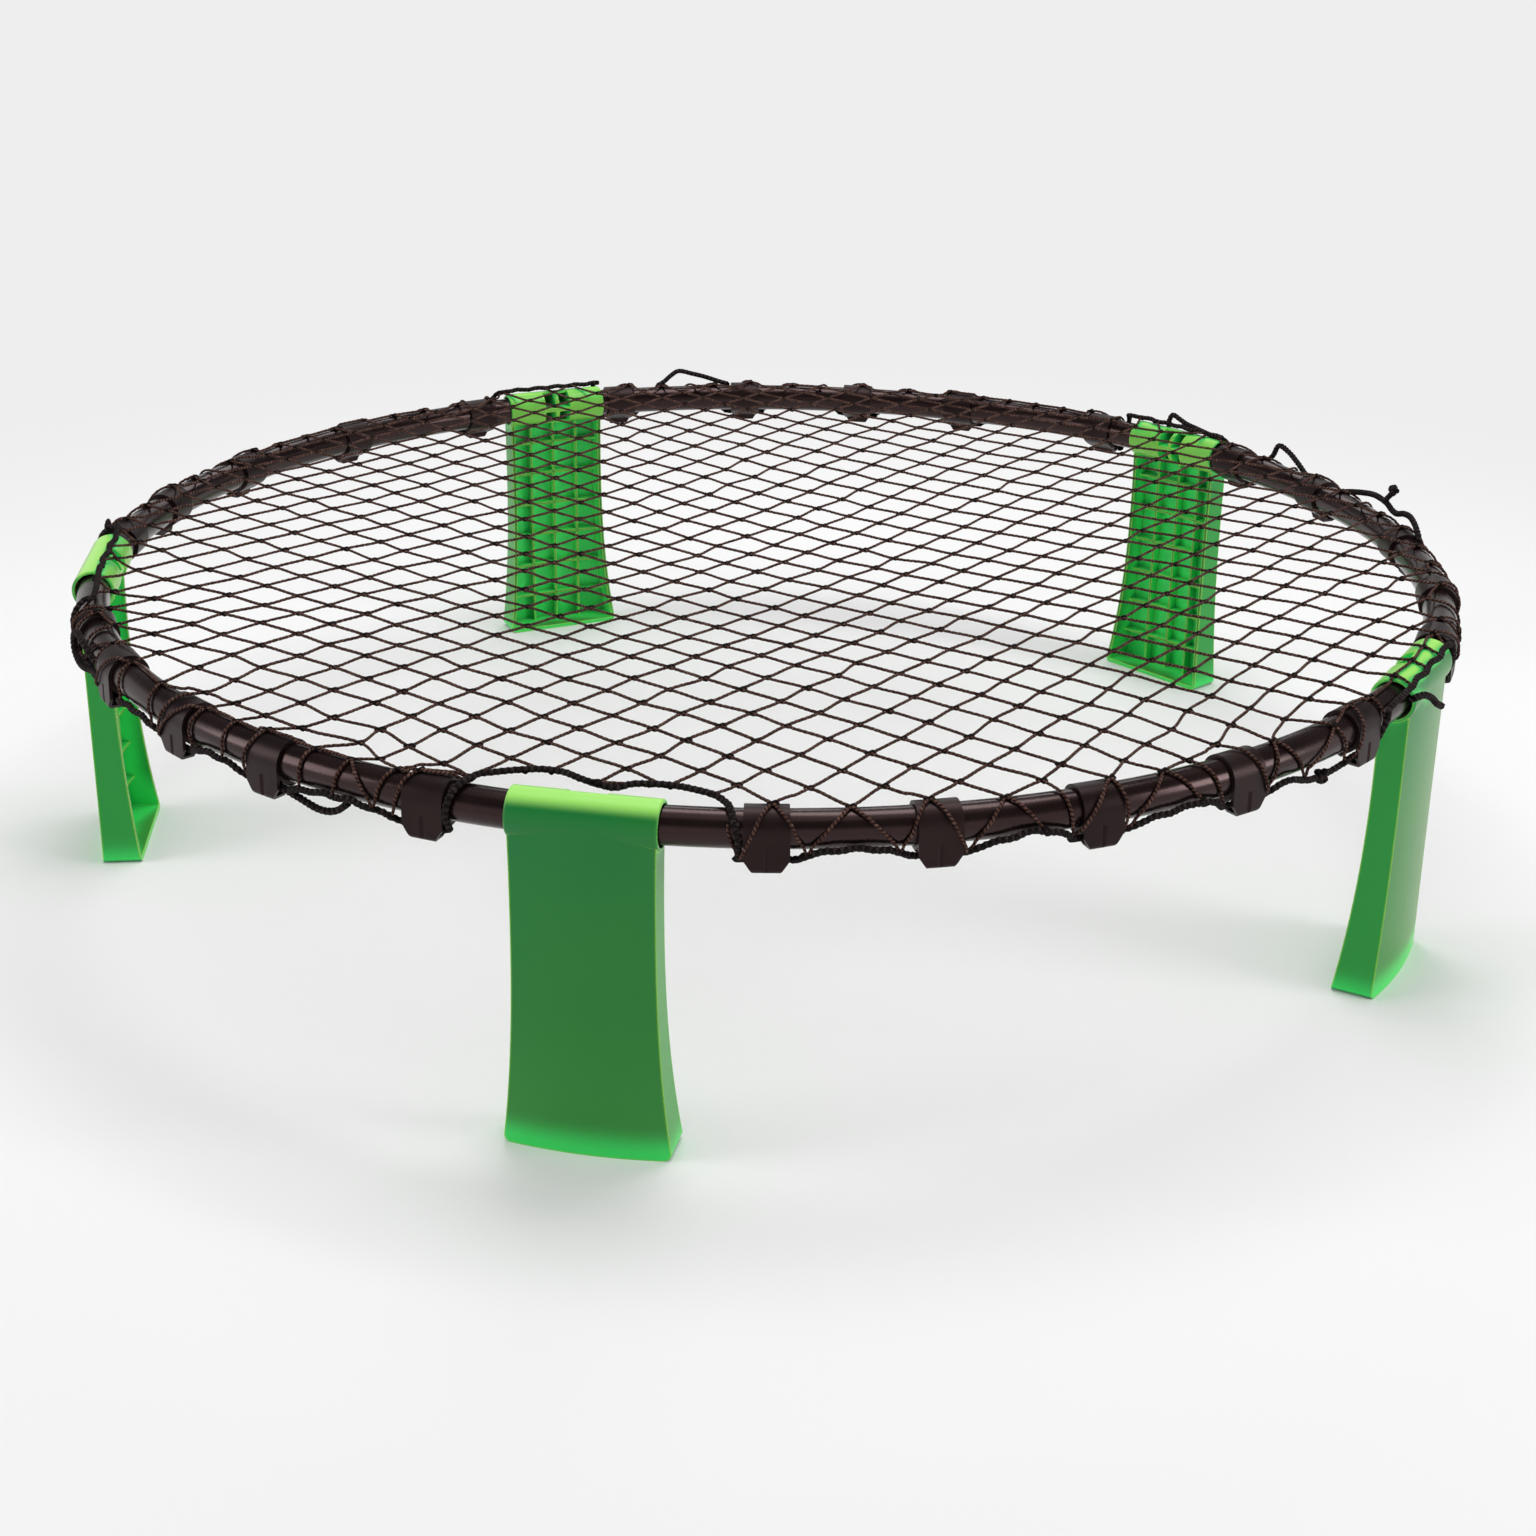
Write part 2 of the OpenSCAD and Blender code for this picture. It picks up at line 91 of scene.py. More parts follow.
@dataclass(frozen=True)
class Rim:
    """The rim that carries everything: a ring of tubes with five sleeves and the clips on it.

    Lengths are in metres, and azimuths and half widths in degrees.
    """

    radius: float = 0.447
    height: float = 0.192
    tube_r: float = 0.0105
    collar_r: float = 0.0127
    sleeve_r: float = 0.01373
    sleeve_in: float = 0.00093
    sleeve_half_deg: float = 5.23
    clip_half_deg: float = 1.506
    clips: tuple[float, ...] = field(default_factory=lambda: clip_azimuths())

    def at(self, azimuth: float, out: float, up: float) -> Vector:
        """A point beside the tube.

        Args:
            azimuth: place along the rim, in degrees.
            out: distance outward from the middle of the tube.
            up: height above the middle of the tube.

        Returns:
            The point in the row frame.
        """
        a = math.radians(azimuth)
        reach = self.radius + out
        return Vector((reach * math.sin(a), -reach * math.cos(a), self.height + up))

    def outward(self, azimuth: float) -> Vector:
        """The level direction that points away from the rim's centre."""
        a = math.radians(azimuth)
        return Vector((math.sin(a), -math.cos(a), 0))

    def mm(self, length: float) -> float:
        """The degrees that a length in millimetres takes along the rim."""
        return math.degrees(length / MM_PER_M / self.radius)

    def sleeve_out(self, offset: float) -> float:
        """How far out the straight sleeve's axis lies from the curved tube's, at an azimuth from its leg."""
        reach = (self.radius - self.sleeve_in) / math.cos(math.radians(offset))
        return reach - self.radius

    def nearest_leg(self, azimuth: float) -> tuple[int, float]:
        """The nearest leg's number, from 0, and the azimuth counted from it."""
        leg = round(azimuth / LEG_STEP) % LEGS
        return leg, turn(azimuth, leg * LEG_STEP)

    def beside_clip(self, azimuth: float, room: float) -> float:
        """The azimuth, moved to the nearer side of a clip where it would meet one.

        Args:
            azimuth: place along the rim, in degrees.
            room: degrees to keep free beside a clip.

        Returns:
            The azimuth, moved or as it was.
        """
        need = self.clip_half_deg + room
        for clip in self.clips:
            away = turn(azimuth, clip)
            if abs(away) < need:
                return clip + math.copysign(need, away)
        return azimuth


def clip_azimuths() -> tuple[float, ...]:
    """The azimuth of every clip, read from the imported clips.

    Returns:
        One azimuth a clip, rising from leg 1.
    """
    found = []
    for number in range(1, LEGS * CLIPS_PER_TUBE + 1):
        low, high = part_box(f"net_clip_{number}")
        middle = (low + high) / 2
        found.append(math.degrees(math.atan2(middle.x, -middle.y)) % 360)
    return tuple(found)


def turn(a: float, b: float) -> float:
    """The signed turn from azimuth b to azimuth a, from -180 to 180 degrees."""
    return (a - b + 540) % 360 - 180


def ease(x: float) -> float:
    """A smooth step from 0 to 1."""
    x = min(max(x, 0.0), 1.0)
    return x * x * (3 - 2 * x)


# ---------- shader node groups ----------


class NodeLaying:
    """A node tree of any kind while its nodes are being laid."""

    def __init__(self, tree: bpy.types.NodeTree) -> None:
        """Starts on an empty node tree."""
        self.tree = tree

    def fill(self, node: bpy.types.Node, inputs: dict[str | int, object]) -> None:
        """Sets a node's sockets.

        Args:
            node: the node.
            inputs: a value, or another node's output, for each named socket.
        """
        for name, value in inputs.items():
            socket = node.inputs[name]
            if isinstance(value, bpy.types.NodeSocket):
                self.tree.links.new(value, socket)
            else:
                socket.default_value = value

    def node(
        self,
        kind: str,
        inputs: dict[str | int, object] | None = None,
        **settings: object,
    ) -> bpy.types.Node:
        """Adds a node.

        Args:
            kind: the node's class name.
            inputs: a value, or another node's output, for each named socket.
            settings: the node's own properties.

        Returns:
            The new node.
        """
        made = self.tree.nodes.new(kind)
        for name, value in settings.items():
            setattr(made, name, value)
        self.fill(made, inputs or {})
        return made

    def math(self, operation: str, *values: object) -> bpy.types.NodeSocket:
        """Adds one arithmetic step and returns its output."""
        return self.node("ShaderNodeMath", dict(enumerate(values)), operation=operation).outputs[0]


class Shader(NodeLaying):
    """A material, or a shader node group, while its nodes are being laid."""

    def mix(self, amount: object, a: object, b: object) -> bpy.types.NodeSocket:
        """Mixes two colours.

        Args:
            amount: share of the second colour.
            a: first colour.
            b: second colour.

        Returns:
            The mixed colour's output.
        """
        made = self.node("ShaderNodeMix", {0: amount, 6: a, 7: b}, data_type="RGBA")
        return made.outputs[2]

    def ramp(self, factor: bpy.types.NodeSocket, low: float, high: float) -> bpy.types.NodeSocket:
        """Turns a value into a mask.

        Args:
            factor: the value.
            low: the mask is 0 up to here.
            high: the mask is 1 from here.

        Returns:
            The mask's output.
        """
        made = self.node(
            "ShaderNodeMapRange",
            {"Value": factor, "From Min": low, "From Max": high},
            interpolation_type="SMOOTHSTEP",
        )
        return made.outputs["Result"]

    def rounded(self, radius: object) -> bpy.types.NodeSocket:
        """The way a face looks, rounded at its edges to a radius."""
        return self.node("ShaderNodeBevel", {"Radius": radius}, samples=EDGE_SAMPLES).outputs["Normal"]


def group(
    name: str,
    inputs: dict[str, tuple[str, float]],
    outputs: dict[str, str],
) -> tuple[Shader, dict, dict]:
    """Starts a shader node group with named sockets.

    Args:
        name: the group's name.
        inputs: each input's socket type and default value.
        outputs: each output's socket type.

    Returns:
        The group's shader, its inputs by name, and its output node's sockets by name.
    """
    tree = bpy.data.node_groups.new(name, "ShaderNodeTree")
    for label, (kind, default) in inputs.items():
        socket = tree.interface.new_socket(label, in_out="INPUT", socket_type=kind)
        socket.default_value = default
    for label, kind in outputs.items():
        tree.interface.new_socket(label, in_out="OUTPUT", socket_type=kind)
    entry = tree.nodes.new("NodeGroupInput")
    leave = tree.nodes.new("NodeGroupOutput")
    given = {socket.name: socket for socket in entry.outputs if socket.name}
    wanted = {socket.name: socket for socket in leave.inputs if socket.name}
    return Shader(tree), given, wanted


def mottle_group() -> bpy.types.NodeTree:
    """Cloudy variation and fine grain of a moulded or painted surface.

    Returns:
        A group with a Cloud mask, a Grain mask and a Height for bump.
    """
    cloud_span, grain_span, cloud_lift = (0.32, 0.68), (0.3, 0.7), 0.6
    sh, entry, leave = group(
        "mottle",
        {"Cloud Scale": ("NodeSocketFloat", 12.0), "Grain Scale": ("NodeSocketFloat", 900.0)},
        {"Cloud": "NodeSocketFloat", "Grain": "NodeSocketFloat", "Height": "NodeSocketFloat"},
    )
    place = sh.node("ShaderNodeTexCoord").outputs["Object"]

    def noise(label: str, detail: float) -> bpy.types.NodeSocket:
        """Noise at one of the group's scales."""
        inputs = {"Vector": place, "Scale": entry[label], "Detail": detail}
        return sh.node("ShaderNodeTexNoise", inputs).outputs["Fac"]

    cloud = noise("Cloud Scale", 3.0)
    grain = noise("Grain Scale", 2.0)
    link = sh.tree.links.new
    link(sh.ramp(cloud, *cloud_span), leave["Cloud"])
    link(sh.ramp(grain, *grain_span), leave["Grain"])
    link(sh.math("ADD", sh.math("MULTIPLY", cloud, cloud_lift), grain), leave["Height"])
    return sh.tree


def edge_wear_and_light_group() -> bpy.types.NodeTree:
    """Finds a piece's outer edges and its closed corners: worn edges on the tubes and clips, and on the legs
    the places of painted edge light and of painted glow and shade in corners.

    Returns:
        A group with an Edge mask and a Corner value that rises where a corner is closed.
    """
    edge_span, shut_span = (0.04, 0.16), (0.45, 0.75)
    sh, entry, leave = group(
        "edge_wear_and_light",
        {"Edge Width": ("NodeSocketFloat", 0.0012), "Corner Reach": ("NodeSocketFloat", 0.03)},
        {"Edge": "NodeSocketFloat", "Corner": "NodeSocketFloat"},
    )
    flat = sh.node("ShaderNodeNewGeometry").outputs["Normal"]
    rounded = sh.rounded(entry["Edge Width"])
    along = sh.node("ShaderNodeVectorMath", {0: flat, 1: rounded}, operation="DOT_PRODUCT").outputs["Value"]
    edge = sh.ramp(sh.math("SUBTRACT", 1.0, along), *edge_span)
    around = sh.node(
        "ShaderNodeAmbientOcclusion", {"Distance": entry["Corner Reach"]}, samples=CORNER_SAMPLES
    ).outputs["AO"]
    corner = sh.math("SUBTRACT", 1.0, around)
    unshut = sh.math("SUBTRACT", 1.0, sh.ramp(corner, *shut_span))
    sh.tree.links.new(sh.math("MULTIPLY", edge, unshut), leave["Edge"])
    sh.tree.links.new(corner, leave["Corner"])
    return sh.tree


def lay_group() -> bpy.types.NodeTree:
    """The lay of a twisted cord or braided rope, drawn on its own UV map: U round it, V along it.

    Returns:
        A group with a mask of the painted shade between the strands, a Strand tint and a Height for bump.
    """
    groove_shade_span, fuzz_scale, fuzz_lift = (0.15, 0.8), 260.0, 0.3
    sh, entry, leave = group(
        "cord_lay",
        {"Pitch": ("NodeSocketFloat", 0.003), "Braid": ("NodeSocketFloat", 0.0)},
        {"Groove Shade": "NodeSocketFloat", "Tint": "NodeSocketFloat", "Height": "NodeSocketFloat"},
    )
    lay = sh.node("ShaderNodeUVMap", uv_map="lay").outputs["UV"]
    uv = sh.node("ShaderNodeSeparateXYZ", {0: lay}).outputs
    along = sh.math("DIVIDE", uv["Y"], entry["Pitch"])

    def strands(sign: float) -> bpy.types.NodeSocket:
        """The strands that wind one way, 1 on their backs and 0 between them."""
        phase = sh.math("ADD", along, sh.math("MULTIPLY", uv["X"], sign))
        return sh.math("ABSOLUTE", sh.math("SINE", sh.math("MULTIPLY", phase, math.pi)))

    one_way, other_way = strands(1.0), strands(-1.0)
    woven = sh.math("MINIMUM", one_way, other_way)
    strand = {0: entry["Braid"], 2: one_way, 3: woven}
    height = sh.node("ShaderNodeMix", strand, data_type="FLOAT").outputs[0]
    place = sh.node("ShaderNodeTexCoord").outputs["Object"]
    fuzz = sh.node("ShaderNodeTexNoise", {"Vector": place, "Scale": fuzz_scale}).outputs["Fac"]
    link = sh.tree.links.new
    link(sh.math("SUBTRACT", 1.0, sh.ramp(height, *groove_shade_span)), leave["Groove Shade"])
    link(fuzz, leave["Tint"])
    link(sh.math("ADD", height, sh.math("MULTIPLY", fuzz, fuzz_lift)), leave["Height"])
    return sh.tree


class Finishes:
    """The materials, made once and shared by the pieces."""

    def __init__(self) -> None:
        """Builds the shared groups."""
        self.mottle = mottle_group()
        self.edge_wear_and_light = edge_wear_and_light_group()
        self.lay = lay_group()

    def start(self, name: str) -> tuple[bpy.types.Material, Shader, bpy.types.Node]:
        """Starts a material with an empty Principled shader.

        Args:
            name: the material's name.

        Returns:
            The material, its shader and the Principled node.
        """
        material = bpy.data.materials.new(name)
        material.use_nodes = True
        material.node_tree.nodes.clear()
        sh = Shader(material.node_tree)
        surface = sh.node("ShaderNodeBsdfPrincipled")
        sh.node("ShaderNodeOutputMaterial", {"Surface": surface.outputs[0]})
        return material, sh, surface

    def use(self, sh: Shader, tree: bpy.types.NodeTree, **values: float) -> bpy.types.Node:
        """Places a shared group in a material, with this material's values.

        Args:
            sh: the material's shader.
            tree: the shared group.
            values: a value for each of its inputs, with _ for a space in the input's name.

        Returns:
            The group's node.
        """
        made = sh.node("ShaderNodeGroup", node_tree=tree)
        sh.fill(made, {name.replace("_", " "): value for name, value in values.items()})
        return made


@dataclass(frozen=True)
class LegFinish:
    """Green moulded plastic with light and shade painted into its colour: a painted yellow-green glow at its
    thin edges, a painted clear green glow inside its ribs, painted shade in its most closed corners, a
    painted highlight on the sleeve's crest, and painted light on its side walls and near the ground.

    A span holds the value at which a colour starts to show and the one at which it is full. Its name
    says of what: metres up, metres below the ground, metres out from the rim's axis, how far a face is
    turned aside, or how closed a corner is.
    """

    body: Colour = (0.006, 0.200, 0.042, 1)
    cloud: Colour = (0.016, 0.220, 0.030, 1)
    # painted light: the leg grows lighter toward the ground, standing in for light bounced up from the floor
    floor_bounce_light: Colour = (0.040, 0.280, 0.046, 1)
    floor_bounce_light_below: Span = (-0.10, 0.01)
    # painted light: faces turned along the rim, the side walls, paler as if struck by grazing light
    side_wall_light: Colour = (0.020, 0.330, 0.048, 1)
    side_wall_light_aside: Span = (0.60, 0.85)
    # painted highlight: the top of each sleeve, yellow-white as where the overhead light strikes it
    crest: Colour = (0.330, 0.760, 0.130, 1)
    crest_highlight_up: Span = (0.1990, 0.2045)
    # painted glow: the inner side of the leg's top, lighter as if lit through the plastic
    upper_inside_glow: Colour = (0.185, 0.560, 0.070, 1)
    upper_inside_glow_up: Span = (0.1760, 0.1840)
    outer_out: Span = (0.4405, 0.4470)
    # painted light: the leg's outer edges in a pale yellow-green, as if light glowed along them
    edge: Colour = (0.38, 0.80, 0.08, 1)
    edge_width: float = 0.0022
    # painted glow: inside the ribs, where corners close, a bright clear green as if light came through the
    # plastic
    inner: Colour = (0.046, 0.820, 0.150, 1)
    inner_glow_corner: Span = (0.14, 0.42)
    # painted shade: the most closed corners, darker and bluer than the glow around them
    deepest_shade: Colour = (0.0, 0.36, 0.115, 1)
    deepest_shade_corner: Span = (0.6, 0.95)
    corner_reach: float = 0.03
    cloud_scale: float = 7.0
    grain_scale: float = 1400.0
    grain: float = 0.05
    grain_depth: float = 0.0004
    soft_edge: float = 0.0010
    roughness: float = 0.28
    rough_grain: float = 0.08
    specular: float = 0.28
    sheen: float = 0.22
    sheen_roughness: float = 0.35
    sheen_tint: Colour = (1.0, 0.92, 0.45, 1)

    def colour(self, sh: Shader, mottle: bpy.types.Node, edges: bpy.types.Node) -> bpy.types.NodeSocket:
        """Lays the leg's own green and mottle, then its painted light and shade, over each other.

        Args:
            sh: the material's shader.
            mottle: the placed mottle group.
            edges: the placed edge group, whose Edge mask lays the painted edge light and whose Corner value
                lays the painted corner glow and shade.

        Returns:
            The colour's output.
        """
        coordinates = sh.node("ShaderNodeTexCoord").outputs
        place = sh.node("ShaderNodeSeparateXYZ", {0: coordinates["Object"]}).outputs
        facing = sh.node("ShaderNodeSeparateXYZ", {0: coordinates["Normal"]}).outputs
        height, corner = place["Z"], edges.outputs["Corner"]
        below = sh.math("MULTIPLY", height, -1.0)
        out = sh.math("SQRT", sh.math("ADD", *(sh.math("MULTIPLY", place[k], place[k]) for k in "XY")))
        one, other = (sh.math("MULTIPLY", facing[a], place[b]) for a, b in ("XY", "YX"))
        aside = sh.math("DIVIDE", sh.math("ABSOLUTE", sh.math("SUBTRACT", one, other)), out)
        inside = sh.math("SUBTRACT", 1.0, sh.ramp(out, *self.outer_out))
        colour = sh.mix(mottle.outputs["Cloud"], self.body, self.cloud)
        # painted bounce light from the floor, growing toward the ground
        colour = sh.mix(sh.ramp(below, *self.floor_bounce_light_below), colour, self.floor_bounce_light)
        # painted grazing light on the side walls
        colour = sh.mix(sh.ramp(aside, *self.side_wall_light_aside), colour, self.side_wall_light)
        # painted highlight on the sleeve's crest
        colour = sh.mix(sh.ramp(height, *self.crest_highlight_up), colour, self.crest)
        # painted glow on the inner side of the leg's top
        colour = sh.mix(sh.math("MULTIPLY", inside, sh.ramp(height, *self.upper_inside_glow_up)), colour, self.upper_inside_glow)
        # painted glow in the closed corners
        colour = sh.mix(sh.ramp(corner, *self.inner_glow_corner), colour, self.inner)
        # painted shade in the most closed corners
        colour = sh.mix(sh.ramp(corner, *self.deepest_shade_corner), colour, self.deepest_shade)
        # painted edge light along the outer edges
        return sh.mix(edges.outputs["Edge"], colour, self.edge)

    def make(self, kit: Finishes) -> bpy.types.Material:
        """Builds the material.

        Args:
            kit: the shared groups.

        Returns:
            The material for the legs.
        """
        material, sh, surface = kit.start("leg_moulding")
        mottle = kit.use(sh, kit.mottle, Cloud_Scale=self.cloud_scale, Grain_Scale=self.grain_scale)
        edges = kit.use(sh, kit.edge_wear_and_light, Edge_Width=self.edge_width, Corner_Reach=self.corner_reach)
        rough = sh.math("MULTIPLY", mottle.outputs["Grain"], self.rough_grain)
        bump = sh.node(
            "ShaderNodeBump",
            {
                "Strength": self.grain,
                "Distance": self.grain_depth,
                "Height": mottle.outputs["Height"],
                "Normal": sh.rounded(self.soft_edge),
            },
        )
        sh.fill(
            surface,
            {
                "Base Color": self.colour(sh, mottle, edges),
                "Roughness": sh.math("ADD", self.roughness, rough),
                "Normal": bump.outputs[0],
                "Specular IOR Level": self.specular,
                "Sheen Weight": self.sheen,
                "Sheen Roughness": self.sheen_roughness,
                "Sheen Tint": self.sheen_tint,
            },
        )
        return material


@dataclass(frozen=True)
class PaintFinish:
    """Dark painted or moulded surface of the tubes and clips, a little lighter where it wears."""

    name: str
    body: Colour
    worn: Colour
    roughness: float
    specular: float
    grain: float
    specular_tint: Colour = (1.0, 0.64, 0.64, 1)
    cloud_share: float = 0.5
    edge_share: float = 0.8
    edge_width: float = 0.0006
    corner_reach: float = 0.01
    cloud_scale: float = 22.0
    grain_scale: float = 1800.0
    grain_depth: float = 0.0003
    rough_grain: float = 0.1

    def make(self, kit: Finishes) -> bpy.types.Material:
        """Builds the material.

        Args:
            kit: the shared groups.

        Returns:
            The material.
        """
        material, sh, surface = kit.start(self.name)
        mottle = kit.use(sh, kit.mottle, Cloud_Scale=self.cloud_scale, Grain_Scale=self.grain_scale)
        edges = kit.use(sh, kit.edge_wear_and_light, Edge_Width=self.edge_width, Corner_Reach=self.corner_reach)
        cloud = sh.math("MULTIPLY", mottle.outputs["Cloud"], self.cloud_share)
        wear = sh.math("MULTIPLY", edges.outputs["Edge"], self.edge_share)
        rough = sh.math("MULTIPLY", mottle.outputs["Grain"], self.rough_grain)
        bump = sh.node(
            "ShaderNodeBump",
            {"Strength": self.grain, "Distance": self.grain_depth, "Height": mottle.outputs["Height"]},
        )
        sh.fill(
            surface,
            {
                "Base Color": sh.mix(wear, sh.mix(cloud, self.body, self.worn), self.worn),
                "Roughness": sh.math("ADD", self.roughness, rough),
                "Normal": bump.outputs[0],
                "Specular IOR Level": self.specular,
                "Specular Tint": self.specular_tint,
            },
        )
        return material


class Lay(Enum):
    """How a cord's strands lie: the share of braid in them."""

    TWIST = 0.0
    BRAID = 1.0


@dataclass(frozen=True)
class CordFinish:
    """Twisted or braided dark cord, drawn along its own UV map, with painted shade in the grooves between its
    strands.
    """

    name: str
    body: Colour
    groove_shade: Colour
    light: Colour
    pitch: float
    lay: Lay
    light_span: Span = (0.35, 0.75)
    bump: float = 0.9
    bump_depth: float = 0.0005
    roughness: float = 0.75
    specular: float = 0.1

    def make(self, kit: Finishes) -> bpy.types.Material:
        """Builds the material.

        Args:
            kit: the shared groups.

        Returns:
            The material.
        """
        material, sh, surface = kit.start(self.name)
        lay = kit.use(sh, kit.lay, Pitch=self.pitch, Braid=self.lay.value).outputs
        colour = sh.mix(sh.ramp(lay["Tint"], *self.light_span), self.body, self.light)
        bump = sh.node(
            "ShaderNodeBump",
            {"Strength": self.bump, "Distance": self.bump_depth, "Height": lay["Height"]},
        )
        sh.fill(
            surface,
            {
                # painted shade: the grooves between the strands darkened
                "Base Color": sh.mix(lay["Groove Shade"], colour, self.groove_shade),
                "Normal": bump.outputs[0],
                "Roughness": self.roughness,
                "Specular IOR Level": self.specular,
            },
        )
        return material


# ---------- geometry node trees ----------


class Tree(NodeLaying):
    """A geometry node tree while its nodes are being laid."""

    def __init__(self, name: str, inputs: dict[str, tuple[str, object]]) -> None:
        """Starts a tree that takes and gives geometry.

        Args:
            name: the tree's name.
            inputs: each input's socket type and default value, the geometry left out.
        """
        super().__init__(bpy.data.node_groups.new(name, "GeometryNodeTree"))
        face = self.tree.interface
        face.new_socket("Geometry", in_out="INPUT", socket_type="NodeSocketGeometry")
        self.ids = {}
        for label, (kind, default) in inputs.items():
            socket = face.new_socket(label, in_out="INPUT", socket_type=kind)
            if default is not None:
                socket.default_value = default
            self.ids[label] = socket.identifier
        face.new_socket("Geometry", in_out="OUTPUT", socket_type="NodeSocketGeometry")
        self.entry = self.tree.nodes.new("NodeGroupInput").outputs
        self.leave = self.tree.nodes.new("NodeGroupOutput").inputs[0]

    def capture(
        self,
        geometry: bpy.types.NodeSocket,
        value: bpy.types.NodeSocket,
    ) -> tuple[bpy.types.NodeSocket, bpy.types.NodeSocket]:
        """Keeps a value on each point.

        Args:
            geometry: what carries the value.
            value: the field to keep.

        Returns:
            The geometry and the kept value.
        """
        made = self.node("GeometryNodeCaptureAttribute")
        made.capture_items.new("FLOAT", "Kept")
        self.tree.links.new(geometry, made.inputs[0])
        self.tree.links.new(value, made.inputs[1])
        return made.outputs[0], made.outputs[1]

    def finish(self, geometry: bpy.types.NodeSocket) -> None:
        """Ends the tree: real meshes, smooth, in the given material.

        Args:
            geometry: what the tree has made.
        """
        real = self.node("GeometryNodeRealizeInstances", {0: geometry})
        smooth = self.node("GeometryNodeSetShadeSmooth", {0: real.outputs[0]})
        finish = {0: smooth.outputs[0], "Material": self.entry["Material"]}
        dressed = self.node("GeometryNodeSetMaterial", finish)
        self.tree.links.new(dressed.outputs[0], self.leave)

    def grow(self, name: str, start: bpy.types.Mesh, values: dict[str, object]) -> bpy.types.Object:
        """Runs the tree on a mesh and keeps its result as a plain mesh piece.

        Args:
            name: the new piece's name.
            start: the mesh that the tree starts from.
            values: a value for each named input.

        Returns:
            The piece, with no modifier left.
        """
        scene = bpy.context.scene.collection
        source = bpy.data.objects.new(name + "_source", start)
        scene.objects.link(source)
        modifier = source.modifiers.new("grow", "NODES")
        modifier.node_group = self.tree
        for label, value in values.items():
            modifier[self.ids[label]] = value
        graph = bpy.context.evaluated_depsgraph_get()
        mesh = bpy.data.meshes.new_from_object(source.evaluated_get(graph), depsgraph=graph)
        mesh.name = name
        bpy.data.objects.remove(source)
        piece = bpy.data.objects.new(name, mesh)
        scene.objects.link(piece)
        return piece


def cord_tree() -> Tree:
    """A cord along each chain of edges: round, with its strands standing out, closed at its ends.

    Returns:
        The tree, with inputs for radius, sides, strand height, strand pitch, braid and material.
    """
    strand_middle, seam_width = 0.6, 1e-6
    tree = Tree(
        "cord_along_path",
        {
            "Radius": ("NodeSocketFloat", 0.001),
            "Sides": ("NodeSocketInt", 6),
            "Strand Height": ("NodeSocketFloat", 0.0002),
            "Pitch": ("NodeSocketFloat", 0.003),
            "Braid": ("NodeSocketFloat", 0.0),
            "Material": ("NodeSocketMaterial", None),
        },
    )
    entry = tree.entry
    chain = tree.node("GeometryNodeMeshToCurve", {0: entry["Geometry"]}).outputs[0]
    chain, along = tree.capture(chain, tree.node("GeometryNodeSplineParameter").outputs["Length"])
    taper = tree.node("GeometryNodeInputNamedAttribute", {"Name": "taper"}, data_type="FLOAT").outputs[0]
    chain = tree.node("GeometryNodeSetCurveRadius", {0: chain, "Radius": taper}).outputs[0]
    ring = tree.node(
        "GeometryNodeCurveArc",
        {
            "Resolution": tree.math("ADD", entry["Sides"], 1.0),
            "Radius": entry["Radius"],
            "Sweep Angle": 2 * math.pi,
        },
        mode="RADIUS",
    ).outputs[0]
    ring, round_it = tree.capture(ring, tree.node("GeometryNodeSplineParameter").outputs["Factor"])
    skin = tree.node("GeometryNodeCurveToMesh", {0: chain, 1: ring, "Scale": taper}).outputs[0]

    phase = tree.math("DIVIDE", along, entry["Pitch"])

    def strands(way: str) -> bpy.types.NodeSocket:
        """The strands that wind one way, 1 on their backs and 0 between them."""
        wave = tree.math("SINE", tree.math("MULTIPLY", tree.math(way, phase, round_it), math.pi))
        return tree.math("ABSOLUTE", wave)

    twisted = strands("ADD")
    woven = tree.math("MINIMUM", twisted, strands("SUBTRACT"))
    strand = {0: entry["Braid"], 2: twisted, 3: woven}
    form = tree.node("ShaderNodeMix", strand, data_type="FLOAT").outputs[0]
    lift = tree.math("MULTIPLY", tree.math("SUBTRACT", form, strand_middle), entry["Strand Height"])
    lift = tree.math("MULTIPLY", lift, taper)
    offset = tree.node(
        "ShaderNodeVectorMath",
        {0: tree.node("GeometryNodeInputNormal").outputs[0], "Scale": lift},
        operation="SCALE",
    ).outputs[0]
    uv = tree.node("ShaderNodeCombineXYZ", {"X": round_it, "Y": along}).outputs[0]
    skin = tree.node(
        "GeometryNodeStoreNamedAttribute",
        {0: skin, "Name": "lay", "Value": uv},
        data_type="FLOAT2",
        domain="CORNER",
    ).outputs[0]
    skin = tree.node("GeometryNodeMergeByDistance", {0: skin, "Distance": seam_width}).outputs[0]
    skin = tree.node("GeometryNodeSetPosition", {0: skin, "Offset": offset}).outputs[0]
    tree.finish(skin)
    return tree


